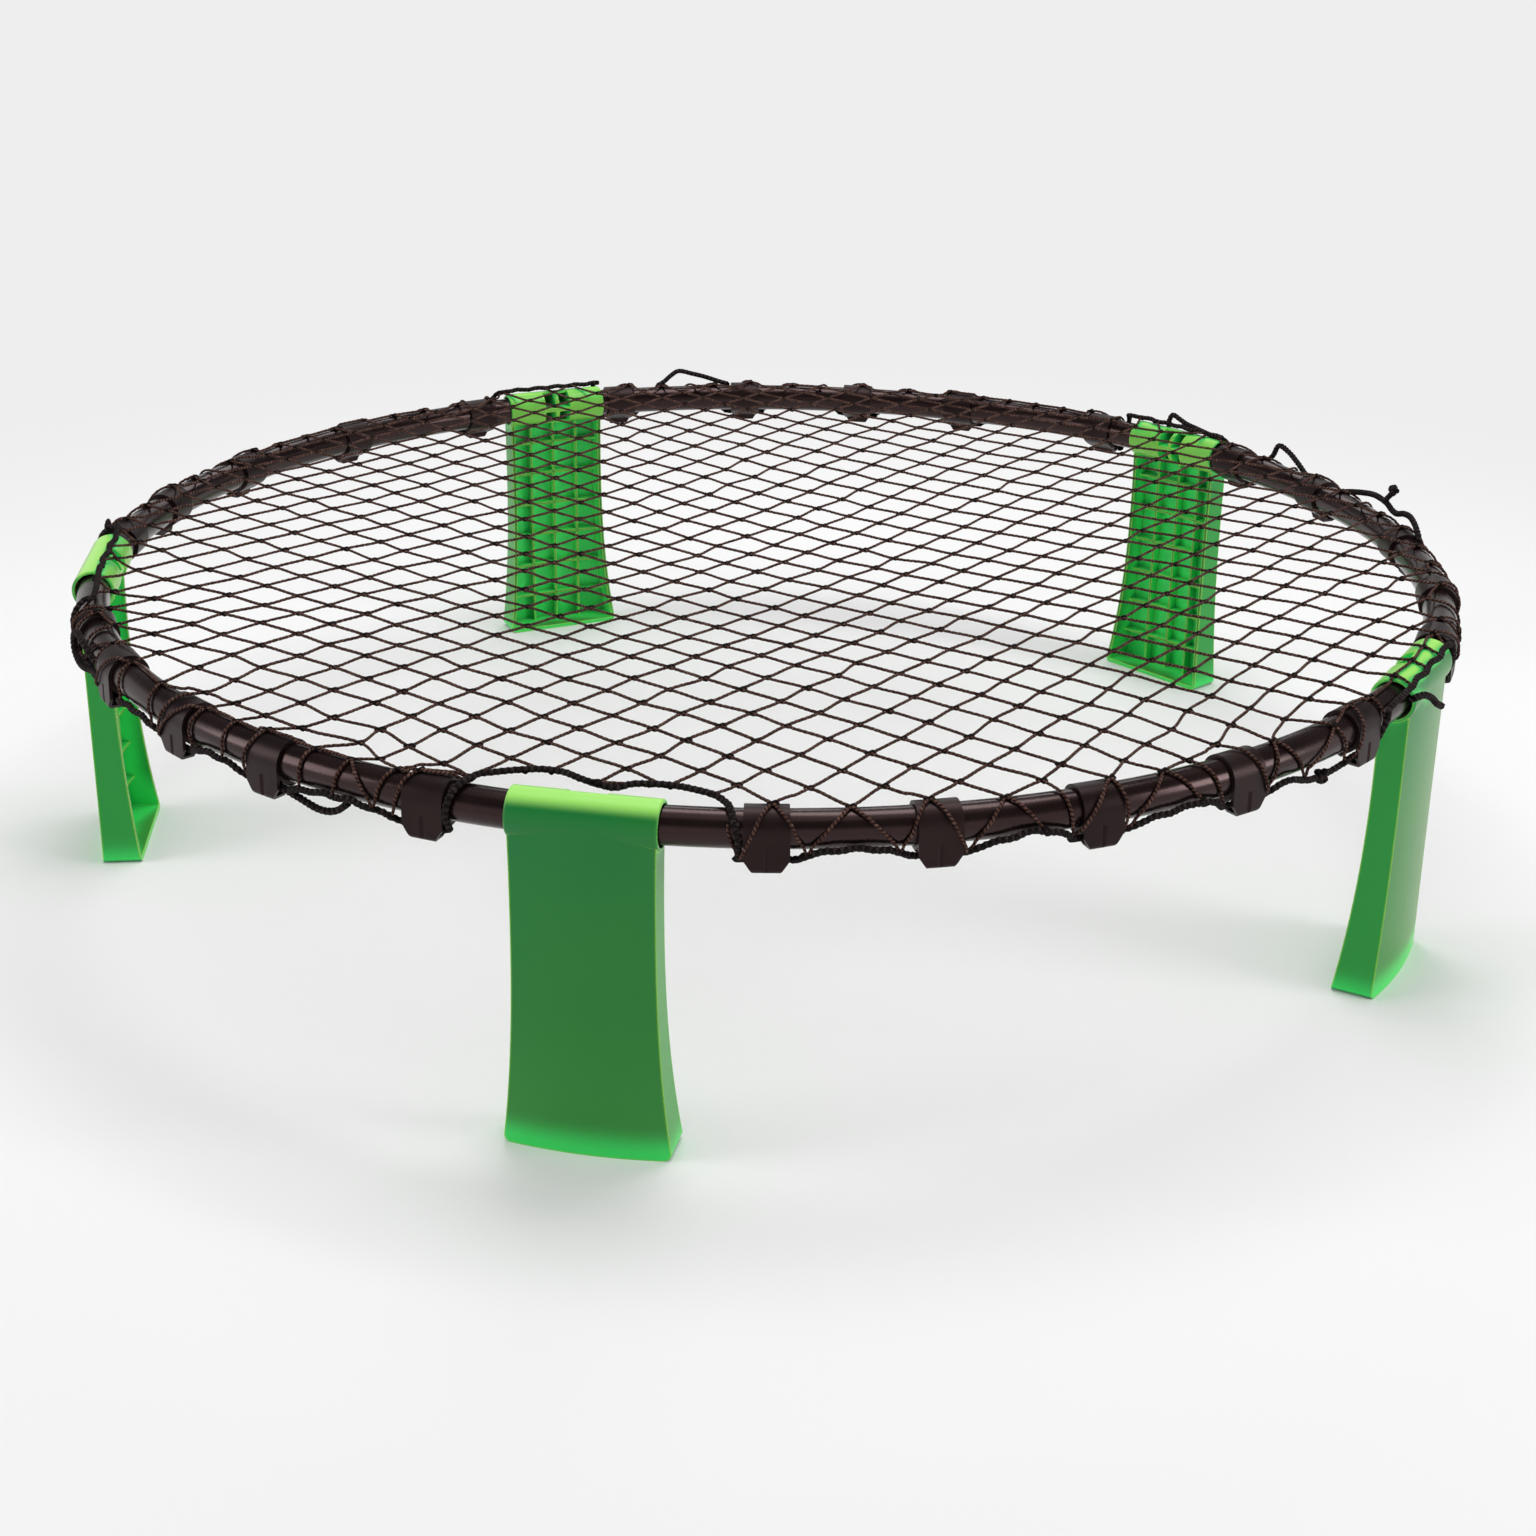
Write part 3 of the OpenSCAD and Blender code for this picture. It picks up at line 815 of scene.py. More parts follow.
def knot_tree() -> Tree:
    """A knot on each point, turned to lie on the net.

    Returns:
        The tree, with inputs for the knot's form and its material.
    """
    tree = Tree(
        "knot_on_points",
        {"Form": ("NodeSocketObject", None), "Material": ("NodeSocketMaterial", None)},
    )
    form = tree.node("GeometryNodeObjectInfo", {"Object": tree.entry["Form"]}).outputs["Geometry"]

    def named(name: str, kind: str) -> bpy.types.NodeSocket:
        """A value that each point carries."""
        return tree.node("GeometryNodeInputNamedAttribute", {"Name": name}, data_type=kind).outputs[0]

    facing = tree.node(
        "FunctionNodeAxesToRotation",
        {0: named("up", "FLOAT_VECTOR"), 1: named("along", "FLOAT_VECTOR")},
        primary_axis="Z",
        secondary_axis="X",
    ).outputs[0]
    placed = tree.node(
        "GeometryNodeInstanceOnPoints",
        {
            "Points": tree.entry["Geometry"],
            "Instance": form,
            "Rotation": facing,
            "Scale": named("size", "FLOAT_VECTOR"),
        },
    ).outputs[0]
    tree.finish(placed)
    return tree


def chains_mesh(name: str, chains: Sequence[Sequence[Vector]], closed: bool = False) -> bpy.types.Mesh:
    """Lays chains of edges for the cord tree.

    Args:
        name: the mesh's name.
        chains: the points of each cord, a ring's spacing apart.
        closed: True where each chain's last point joins its first.

    Returns:
        A mesh of edges, with a taper on each point that closes the cords' ends.
    """
    end_length = 0.02
    points, edges, taper = [], [], []
    for chain in chains:
        first = len(points)
        chain = list(chain)
        if not closed:
            chain = [chain[0], *chain, chain[-1]]
            chain[0] = chain[1].lerp(chain[2], end_length)
            chain[-1] = chain[-2].lerp(chain[-3], end_length)
        points += chain
        taper += [1.0] * len(chain) if closed else [0.0, *[1.0] * (len(chain) - 2), 0.0]
        edges += [(first + i, first + i + 1) for i in range(len(chain) - 1)]
        if closed:
            edges.append((len(points) - 1, first))
    mesh = bpy.data.meshes.new(name)
    mesh.from_pydata(points, edges, [])
    mesh.attributes.new("taper", "FLOAT", "POINT").data.foreach_set("value", taper)
    return mesh


@dataclass(frozen=True)
class KnotSpot:
    """Where one knot lies: its place, the way it faces, the way it runs and its size."""

    place: Vector
    up: Vector
    along: Vector
    size: float


def spots_mesh(name: str, spots: Sequence[KnotSpot]) -> bpy.types.Mesh:
    """Lays points for the knot tree.

    Args:
        name: the mesh's name.
        spots: the knots.

    Returns:
        A mesh of points with the knots' directions and sizes.
    """
    mesh = bpy.data.meshes.new(name)
    mesh.from_pydata([s.place for s in spots], [], [])
    for label, rows in (
        ("up", [s.up for s in spots]),
        ("along", [s.along for s in spots]),
        ("size", [(s.size,) * 3 for s in spots]),
    ):
        layer = mesh.attributes.new(label, "FLOAT_VECTOR", "POINT")
        layer.data.foreach_set("vector", np.array(rows, float).ravel())
    return mesh


def smooth_path(points: Sequence[Vector], step: float) -> list[Vector]:
    """Runs a smooth curve through points and lays a point at each step along it.

    Args:
        points: the points to pass, two at least.
        step: distance between the new points.

    Returns:
        The new points, the given ends among them.
    """
    between = 12
    rows = [Vector(p) for p in points]
    rows = [rows[0] * 2 - rows[1], *rows, rows[-1] * 2 - rows[-2]]
    fine = []
    for a, b, c, d in zip(rows, rows[1:], rows[2:], rows[3:]):
        for i in range(between):
            t = i / between
            bend = (2 * a - 5 * b + 4 * c - d) * t * t
            twist = (3 * b - a - 3 * c + d) * t**3
            fine.append(0.5 * (2 * b + (c - a) * t + bend + twist))
    fine.append(rows[-2])
    return even_path(fine, step)


def even_path(fine: Sequence[Vector], step: float) -> list[Vector]:
    """Lays points at even distances along a finely drawn path.

    Args:
        fine: the path's points.
        step: about the distance between the new points.

    Returns:
        The new points, both ends among them.
    """
    rows = np.array([tuple(p) for p in fine])
    lengths = np.concatenate([[0.0], np.cumsum(np.linalg.norm(np.diff(rows, axis=0), axis=1))])
    count = max(2, round(lengths[-1] / step) + 1)
    places = np.linspace(0, lengths[-1], count)
    return [Vector([float(np.interp(s, lengths, rows[:, k])) for k in range(3)]) for s in places]


# ---------- rope ----------


@dataclass
class EdgeRope:
    """The braided rope that gathers the net's edge: through the clips, past each leg, tied by one knot.

    Lengths are in metres, but beside, clip_edge and the two courses behind a leg are in millimetres.
    Places along the rim and angles round the tube are in degrees, and waver_angle is in radians.
    """

    rim: Rim
    radius: float = 0.0019
    ring_step: float = 0.0008
    pocket_r: float = 0.01565
    pocket_deg: float = -63.4
    over_r: float = 0.013
    span_deg: float = -50.0
    sleeve_lie: float = 0.01593
    beside: float = 2.4
    slant: float = 0.9
    crest_deg: float = 102.0
    low_deg: float = -18.0
    knot_at: float = 54.8
    knot_sag: float = 0.002
    sag_deg: float = 4.0
    sides: tuple[float, ...] = (0, 48, 84, 78, 108)
    draw_up: float = 22.0
    drifts: tuple[tuple[float, float, float], ...] = ((30.4, 3.2, 14.0), (43.2, 3.4, 14.0), (325.0, 4.0, 8.0))
    drift_rise: float = 1.4
    turn_back: float = 14.0
    turn_step: float = 24.0
    clip_edge: float = 3.8
    clip_end: float = 0.5
    clip_room: float = 0.3
    stop_step: float = 0.6
    edge_room: float = 0.15
    waver_angle: float = 0.05
    angle_by_leg: float = 1.7
    angle_by_step: float = 1.1
    lie_by_step: float = 1.9
    waver_lie: float = 0.0005
    waver_span: float = 0.0006
    waver_turns: int = 157
    into_pocket: tuple[tuple[float, float, float], ...] = (
        (0.0, 0.01023, -0.00906),
        (0.1, 0.00776, -0.01305),
    )
    behind_after: Route = field(
        default_factory=lambda: [
            (0.0, -17.5, 12.2),
            (1.4, -17.5, 10.9),
            (2.6, -20.3, 12.6),
            (4.0, -20.8, 13.2),
            (5.6, -20.0, 13.4),
            (7.2, -15.4, 13.6),
            (8.5, -9.8, 13.6),
        ]
    )
    behind_before: Route = field(
        default_factory=lambda: [
            (0.0, -17.5, 12.2),
            (1.2, -20.5, 13.0),
            (2.6, -25.0, 13.5),
            (4.2, -25.6, 13.4),
            (5.8, -20.8, 13.4),
            (7.2, -13.6, 13.5),
            (8.1, -8.4, 13.4),
        ]
    )

    def crossing(self, leg: int, way: int) -> float:
        """The azimuth beside a leg where the rope crosses the rim, right next to the nearest clip.

        Args:
            leg: the leg's number, from 0.
            way: 1 for the side after the leg, -1 for the side before it.

        Returns:
            The azimuth, counted from the leg.
        """
        offsets = [way * turn(c, leg * LEG_STEP) for c in self.rim.clips]
        nearest = min(o for o in offsets if o > 0)
        return way * (nearest - self.rim.clip_half_deg - self.rim.mm(self.beside))

    def over_leg(self, leg: int, way: int) -> Route:
        """The rope from a leg's middle to the end of its sleeve, on the sleeve or behind it.

        Args:
            leg: the leg's number, from 0.
            way: 1 for the side after the leg, -1 for the side before it.

        Returns:
            Azimuths from the leg, distances outward and up, for one side of the leg.
        """
        side = math.radians(self.sides[leg])
        if side == 0:
            rows = self.behind_after if way > 0 else self.behind_before
            return [(az, out / MM_PER_M, up / MM_PER_M) for az, out, up in rows]
        end, steps = self.rim.sleeve_half_deg, 8
        rows = []
        for n in range(steps + 1):
            az = n / steps * end
            phase = leg * self.angle_by_leg + way * n * self.angle_by_step
            angle = side + self.waver_angle * math.sin(phase)
            lie = self.sleeve_lie + self.waver_lie * (1 + math.sin(leg + way * n * self.lie_by_step))
            rows.append((az, self.rim.sleeve_out(az) + lie * math.cos(angle), lie * math.sin(angle)))
        return rows

    def meet(self, azimuth: float) -> float:
        """Moves an azimuth to where a cord can reach the rope.

        Args:
            azimuth: place along the rim, in degrees.

        Returns:
            The azimuth beside a clip, and not short of a crossing.
        """
        azimuth = self.rim.beside_clip(azimuth, self.clip_room)
        leg, offset = self.rim.nearest_leg(azimuth)
        crossing = self.crossing(leg, 1 if offset >= 0 else -1)
        if abs(crossing) - self.slant / 2 < abs(offset) < abs(crossing):
            return leg * LEG_STEP + crossing
        return azimuth

    def over_start(self, leg: int) -> tuple[float, float]:
        """The angle at which the rope starts round the tube beside a leg, and how far off the tube it is."""
        side = self.sides[leg]
        return (side - self.turn_back, self.sleeve_lie - self.over_r) if side else (self.crest_deg, 0.0)

    def past_leg(self, leg: int, way: int) -> Route:
        """The rope from a leg's middle to the rim and round the tube, on one side of the leg.

        Args:
            leg: the leg's number, from 0.
            way: 1 for the side after the leg, -1 for the side before it.

        Returns:
            Azimuths from the leg, distances outward and up, in the order of the rope's course.
        """
        c = abs(self.crossing(leg, way))
        rows = self.over_leg(leg, way)
        start, spare = self.over_start(leg)
        steps = math.ceil((start - self.low_deg) / self.turn_step)
        for i in range(steps + 1):
            left = 1 - i / steps
            a = math.radians(start + (self.low_deg - start) * i / steps)
            r = self.over_r + spare * left**2
            rows.append((c - self.slant * left**1.5, r * math.cos(a), r * math.sin(a)))
        rows += [(c + more, out, up) for more, out, up in self.into_pocket]
        return [(way * az, out, up) for az, out, up in rows][::way]

    def span_share(self, azimuth: float) -> float:
        """How far a place is into the stretch between two clips.

        Args:
            azimuth: place along the rim, from 0 to 360 degrees.

        Returns:
            0 in the clips and across a leg, 1 halfway between two clips.
        """
        before = max(self.rim.clips, key=lambda c: -((azimuth - c) % 360))
        after = min(self.rim.clips, key=lambda c: (c - azimuth) % 360)
        if before // LEG_STEP != after // LEG_STEP:
            return 0.0
        edge = self.rim.clip_half_deg + self.rim.mm(self.clip_edge)
        share = ((azimuth - before) % 360 - edge) / (turn(after, before) - 2 * edge)
        return math.sin(math.pi * share) ** 0.5 if 0 < share < 1 else 0.0

    def place(self, azimuth: float) -> tuple[float, float]:
        """Where the middle of the rope lies under the rim.

        Args:
            azimuth: place along the rim, in degrees.

        Returns:
            Distances outward and up from the middle of the tube.
        """
        knot = max(0.0, 1 - (turn(azimuth, self.knot_at) / self.sag_deg) ** 2)
        lift = self.span_share(azimuth % 360) * (1 - knot)
        r = self.pocket_r + (self.over_r - self.pocket_r) * lift + self.knot_sag * knot
        r += self.waver_span * lift * (1 + math.sin(math.radians(azimuth * self.waver_turns)))
        angle = self.pocket_deg + (self.span_deg + self.draw_up - self.pocket_deg) * lift
        for middle, half, more in self.drifts:
            away = abs(turn(azimuth, middle))
            angle += more * ease(self.drift_rise - self.drift_rise * away / half) * lift
        return r * math.cos(math.radians(angle)), r * math.sin(math.radians(angle))

    def edge(self, azimuth: float) -> tuple[float, float]:
        """Where the net meets the rope at one azimuth.

        Args:
            azimuth: place along the rim, in degrees.

        Returns:
            Distances outward and up from the middle of the tube.
        """
        leg, offset = self.rim.nearest_leg(azimuth)
        way = 1 if offset >= 0 else -1
        crossing = abs(self.crossing(leg, way)) - self.slant
        if abs(offset) > crossing + self.edge_room:
            return self.place(azimuth)
        start, spare = self.over_start(leg)
        a, r = math.radians(start), self.over_r + spare
        rows = np.array([*self.over_leg(leg, way), (crossing, r * math.cos(a), r * math.sin(a))])
        return tuple(float(np.interp(abs(offset), rows[:, 0], rows[:, k])) for k in (1, 2))

    def along_tube(self, leg: int) -> Route:
        """The rope through the clips of one tube, drawn up to the tube between them.

        Args:
            leg: the number of the leg before the tube, from 0.

        Returns:
            Azimuths from the leg, distances outward and up.
        """
        clips = sorted(turn(c, leg * LEG_STEP) % 360 for c in self.rim.clips)
        clips = [c for c in clips if c < LEG_STEP]
        start, end = clips[0] - self.clip_end, clips[-1] + self.clip_end
        count = math.ceil((end - start) / self.stop_step)
        stops = [start + (end - start) * i / count for i in range(count + 1)]
        return [(az, *self.place(leg * LEG_STEP + az)) for az in stops]

    def route(self) -> list[Vector]:
        """The stops of the rope's whole closed course, in the row frame."""
        points = []
        for leg in range(LEGS):
            rows = self.past_leg(leg, 1) + self.along_tube(leg)
            points += [self.rim.at(leg * LEG_STEP + az, out, up) for az, out, up in rows]
            rows = [r for r in self.past_leg((leg + 1) % LEGS, -1) if r[0] < 0]
            points += [self.rim.at((leg + 1) * LEG_STEP + az, out, up) for az, out, up in rows]
        return points

    def course(self) -> list[Vector]:
        """The closed course with a point for each ring of the rope."""
        points = self.route()
        return smooth_path([*points, points[0]], self.ring_step)[:-1]


@dataclass
class RopeSlack:
    """The rope's slack: loops that stand out between clips, the turns of its knots and their short ends.

    Places are (azimuth, outward and up from the middle of the tube), lengths in millimetres.
    """

    rim: Rim
    radius: float = 0.0021
    ring_step: float = 0.0008
    lobe: float = 0.00135
    lobe_height: float = 0.85
    lobe_depth: float = 1.25
    loops: tuple[Route, ...] = (
        [
            (311.2, 9, -2), (310.5, 12, 2), (309.5, 15, 9), (307.5, 16, 12), (306, 16.5, 6),
            (306, 16.5, -4), (307.5, 15, -9), (309.5, 13, -7), (311.0, 10, -6),
        ],
        [
            (335.2, 8.5, -9.5), (336.4, 8.6, -11.5), (338.4, 8, -15.5), (340.3, 8.4, -18.6),
            (341.7, 8, -17), (342.8, 7.5, -10.5),
        ],
        [
            (204.2, 3, 11), (203.4, 4, 14), (202.6, 5, 19), (201.7, 6, 22.5), (200.3, 6, 20),
            (198.9, 6, 17), (197.3, 4.5, 13), (196.4, 4, 11),
        ],
        [
            (132.8, 6, 8), (132.0, 6, 14), (131.3, 6, 23), (129.9, 6, 21), (128.6, 6, 16),
            (127.1, 6, 8.9), (126.6, 6, 7),
        ],
        [
            (121.0, 6, 8), (119.8, 7, 10.8), (117.6, 7.5, 15), (115.5, 7.5, 18), (113.4, 8, 17.4),
            (112, 8, 14.6), (110.9, 8, 14.8), (109.6, 8, 18), (108.1, 8, 19.4), (106.8, 8, 17),
            (105.5, 8, 11), (105.2, 7, 8),
        ],
        [
            (145.9, 4, 14), (145.9, 4.5, 19), (145.5, 4.5, 23.5), (144.6, 4, 21.5), (143.6, 4, 18.8),
            (141.8, 4, 16.6), (139.8, 4, 14), (138.9, 4, 12),
        ],
    )
    ends: tuple[Route, ...] = (
        [(113.4, 8, 17.4), (113.3, 8, 20.5), (112.7, 8, 24.5), (112.1, 8, 29)],
        [(66.6, 13, 4), (67.8, 16.5, 4.5), (69.0, 18.5, 0), (69.9, 19.5, -5.5), (71.0, 20.5, -10.0)],
        [(282.6, 3, 15.5), (282.7, 3, 18.5), (282.2, 3, 21.5)],
    )
    knots: tuple[tuple[float, float, float, float], ...] = (
        (112.1, 8, 29.5, 0.95),
        (78.2, 10.5, 8.5, 0.8),
        (82.6, 11.0, -5.0, 0.75),
    )
    tie: tuple[float, float, float] = (7.9, -15.8, 1.0)

    def course(self, rows: Route) -> list[Vector]:
        """One loop or end with a point for each of its rings."""
        stops = [self.rim.at(az, out / MM_PER_M, up / MM_PER_M) for az, out, up in rows]
        return smooth_path(stops, self.ring_step)

    def knot_turns(self, azimuth: float, out: float, up: float, size: float) -> list[Vector]:
        """The closed turns of one knot: three lobes, drawn tight.

        Args:
            azimuth: its place along the rim, in degrees.
            out: distance outward from the middle of the tube, in millimetres.
            up: height above the middle of the tube, in millimetres.
            size: 1 for the knot that ties the rope's ends.

        Returns:
            The points of its rings.
        """
        middle = self.rim.at(azimuth, out / MM_PER_M, up / MM_PER_M)
        away = self.rim.outward(azimuth)
        along = UPWARD.cross(away)
        rings = 60
        turns = []
        for n in range(rings):
            t = 2 * math.pi * n / rings
            x = math.sin(t) + 2 * math.sin(2 * t)
            y = math.cos(t) - 2 * math.cos(2 * t)
            z = -math.sin(3 * t)
            row = along * x + UPWARD * y * self.lobe_height + away * z * self.lobe_depth
            turns.append(middle + row * self.lobe * size)
        return turns


# ---------- net ----------


# Knots near the front of the rim: {(number, number): (azimuth, millimetres outward from the crest)}
LAID_KNOTS = {
    (9, -13): (8.3, -8), (8, -14): (3.6, -19), (7, -15): (358.6, -18), (6, -15): (354.5, -15),
    (5, -15): (351.5, -8), (4, -15): (348.7, -14), (4, -16): (346.3, 0), (3, -16): (344.3, -6),
    (3, -17): (342.5, 1), (2, -16): (341.3, -17), (2, -17): (339.2, 0), (1, -16): (336, -14),
    (1, -17): (334.6, 0), (0, -16): (332, -14), (0, -17): (331.2, 0), (-1, -16): (328.5, -14),
    (-1, -17): (327.5, 0), (-2, -16): (325.3, -10), (-3, -16): (321, 0), (10, -12): (12.4, 0),
    (11, -11): (17.5, 0), (12, -10): (22.7, 0), (13, -9): (27.9, 1), (13, -8): (31.3, -12),
    (14, -7): (35.7, 0), (15, -6): (40, 0), (15, -5): (42.6, -5), (15, -4): (46, -12),
    (16, -3): (50.3, 0), (16, -2): (54, -15), (17, -2): (56.3, 6), (17, -1): (59.5, 0),
    (17, 0): (62.7, 0), (17, 1): (67, 0), (17, 2): (71, 0), (17, 3): (74.5, 0),
}


@dataclass(frozen=True)
class Section:
    """The net's course across the rim at one azimuth, as distances and angles about the wrapped middle."""

    middle: float
    lie: float
    start: float
    end: float
    far: float
    straight: float
    reach: float
    clip: float


@dataclass
class NetLie:
    """How the net lies: a shallow dish inside the rim, then over the tube, clips and sleeves to the rope.

    Lengths are in metres, the fades beside a clip or a sleeve in degrees along the rim, leave and skirt
    in radians round the tube.
    """

    rim: Rim
    rope: EdgeRope
    sag: float = 0.0115
    edge_r: float = 0.430
    edge_up: float = 0.0128
    cord_r: float = 0.0009
    gap: float = 0.0004
    leave: float = math.radians(22)
    skirt: float = -1.1
    clip_fade: float = 0.42
    sleeve_fade: float = 0.35
    known: dict[int, Section] = field(default_factory=dict)

    def clip_share(self, azimuth: float) -> float:
        """1 over a clip, 0 beside it, with a soft step between."""
        away = min(abs(turn(azimuth, clip)) for clip in self.rim.clips) - self.rim.clip_half_deg
        return 1 - ease(away / self.clip_fade)

    def section(self, azimuth: float) -> Section:
        """The course across the rim, worked out once for each hundredth of a degree.

        Args:
            azimuth: place along the rim, in degrees.

        Returns:
            The section at the nearest hundredth.
        """
        hundredths = 100
        key = round(azimuth * hundredths) % (360 * hundredths)
        if key not in self.known:
            self.known[key] = self.cut(key / hundredths)
        return self.known[key]

    def cut(self, azimuth: float) -> Section:
        """The cord's course across the rim at one azimuth.

        Args:
            azimuth: place along the rim, in degrees.

        Returns:
            The section there.
        """
        offset = self.rim.nearest_leg(azimuth)[1]
        sleeve = 1 - ease((abs(offset) - self.rim.sleeve_half_deg) / self.sleeve_fade)
        clip = self.clip_share(azimuth)
        middle = self.rim.sleeve_out(min(abs(offset), self.rim.sleeve_half_deg)) * sleeve
        base = self.rim.tube_r
        surface = base + (self.rim.sleeve_r - base) * sleeve + (self.rim.collar_r - base) * clip
        lie = surface + self.cord_r + self.gap
        out, up = self.rope.edge(azimuth)
        if self.rim.radius + out < self.edge_r:
            return Section(middle, lie, 0, 0, 0, 0, self.rim.radius + out, clip)
        inner = Vector((self.edge_r - self.rim.radius - middle, self.edge_up))
        span = inner.length
        start = math.atan2(inner.y, inner.x) - math.acos(min(1.0, lie / span))
        end, far = math.atan2(up, out - middle), math.hypot(out - middle, up)
        if end >= start:
            straight = (inner - Vector((out - middle, up))).length
            return Section(middle, far, end, end, far, straight, self.edge_r + straight, clip)
        straight = math.sqrt(max(span * span - lie * lie, 0.0))
        reach = self.edge_r + straight + lie * (start - end)
        return Section(middle, lie, start, end, far, straight, reach, clip)

    def reach(self, azimuth: float) -> float:
        """The radius in the flat net at which a cord meets the rope."""
        return self.section(azimuth).reach

    def place(self, flat: complex) -> tuple[Vector, Vector]:
        """Lifts a point of the flat net to where it lies.

        Args:
            flat: the point's X and Y in the flat net, as one complex number.

        Returns:
            The point and the way that the net faces there. A point past the rope is drawn back to it.
        """
        azimuth = azimuth_of(flat)
        out = self.rim.outward(azimuth)
        cut = self.section(azimuth)
        r = min(abs(flat), cut.reach)
        if r <= self.edge_r:
            share = 1 - (r / self.edge_r) ** 2
            up = self.edge_up - self.sag * share**3
            slope = 6 * self.sag * share**2 * r / self.edge_r**2
            normal = (UPWARD - out * slope).normalized()
            return Vector((out.x * r, out.y * r, self.rim.height + up)), normal
        past = r - self.edge_r
        if past < cut.straight:
            touch = Vector((cut.middle + cut.lie * math.cos(cut.start), cut.lie * math.sin(cut.start)))
            row = Vector((self.edge_r - self.rim.radius, self.edge_up)).lerp(touch, past / cut.straight)
            angle = cut.start
        else:
            angle = cut.start - (past - cut.straight) / cut.lie
            spread = cut.lie
            if angle < 0:
                spread += (cut.lie / math.cos(max(angle, self.skirt)) - cut.lie) * cut.clip
            spread += (cut.far - spread) * ease(1 - (angle - cut.end) / self.leave)
            row = Vector((cut.middle + spread * math.cos(angle), spread * math.sin(angle)))
        normal = out * math.cos(angle) + Vector((0, 0, math.sin(angle)))
        return self.rim.at(azimuth, row.x, row.y), normal


def azimuth_of(flat: complex) -> float:
    """The azimuth of a point of the flat net."""
    return math.degrees(math.atan2(flat.real, -flat.imag)) % 360


def flat_at(azimuth: float, reach: float) -> complex:
    """The point of the flat net at an azimuth and a radius."""
    a = math.radians(azimuth)
    return complex(reach * math.sin(a), -reach * math.cos(a))


class Hold(Enum):
    """What holds a knot of the net in its place."""

    FREE = "free in the net"
    CREST = "on top of the rim"
    ROPE = "at the rope"
    FIXED = "laid by hand"


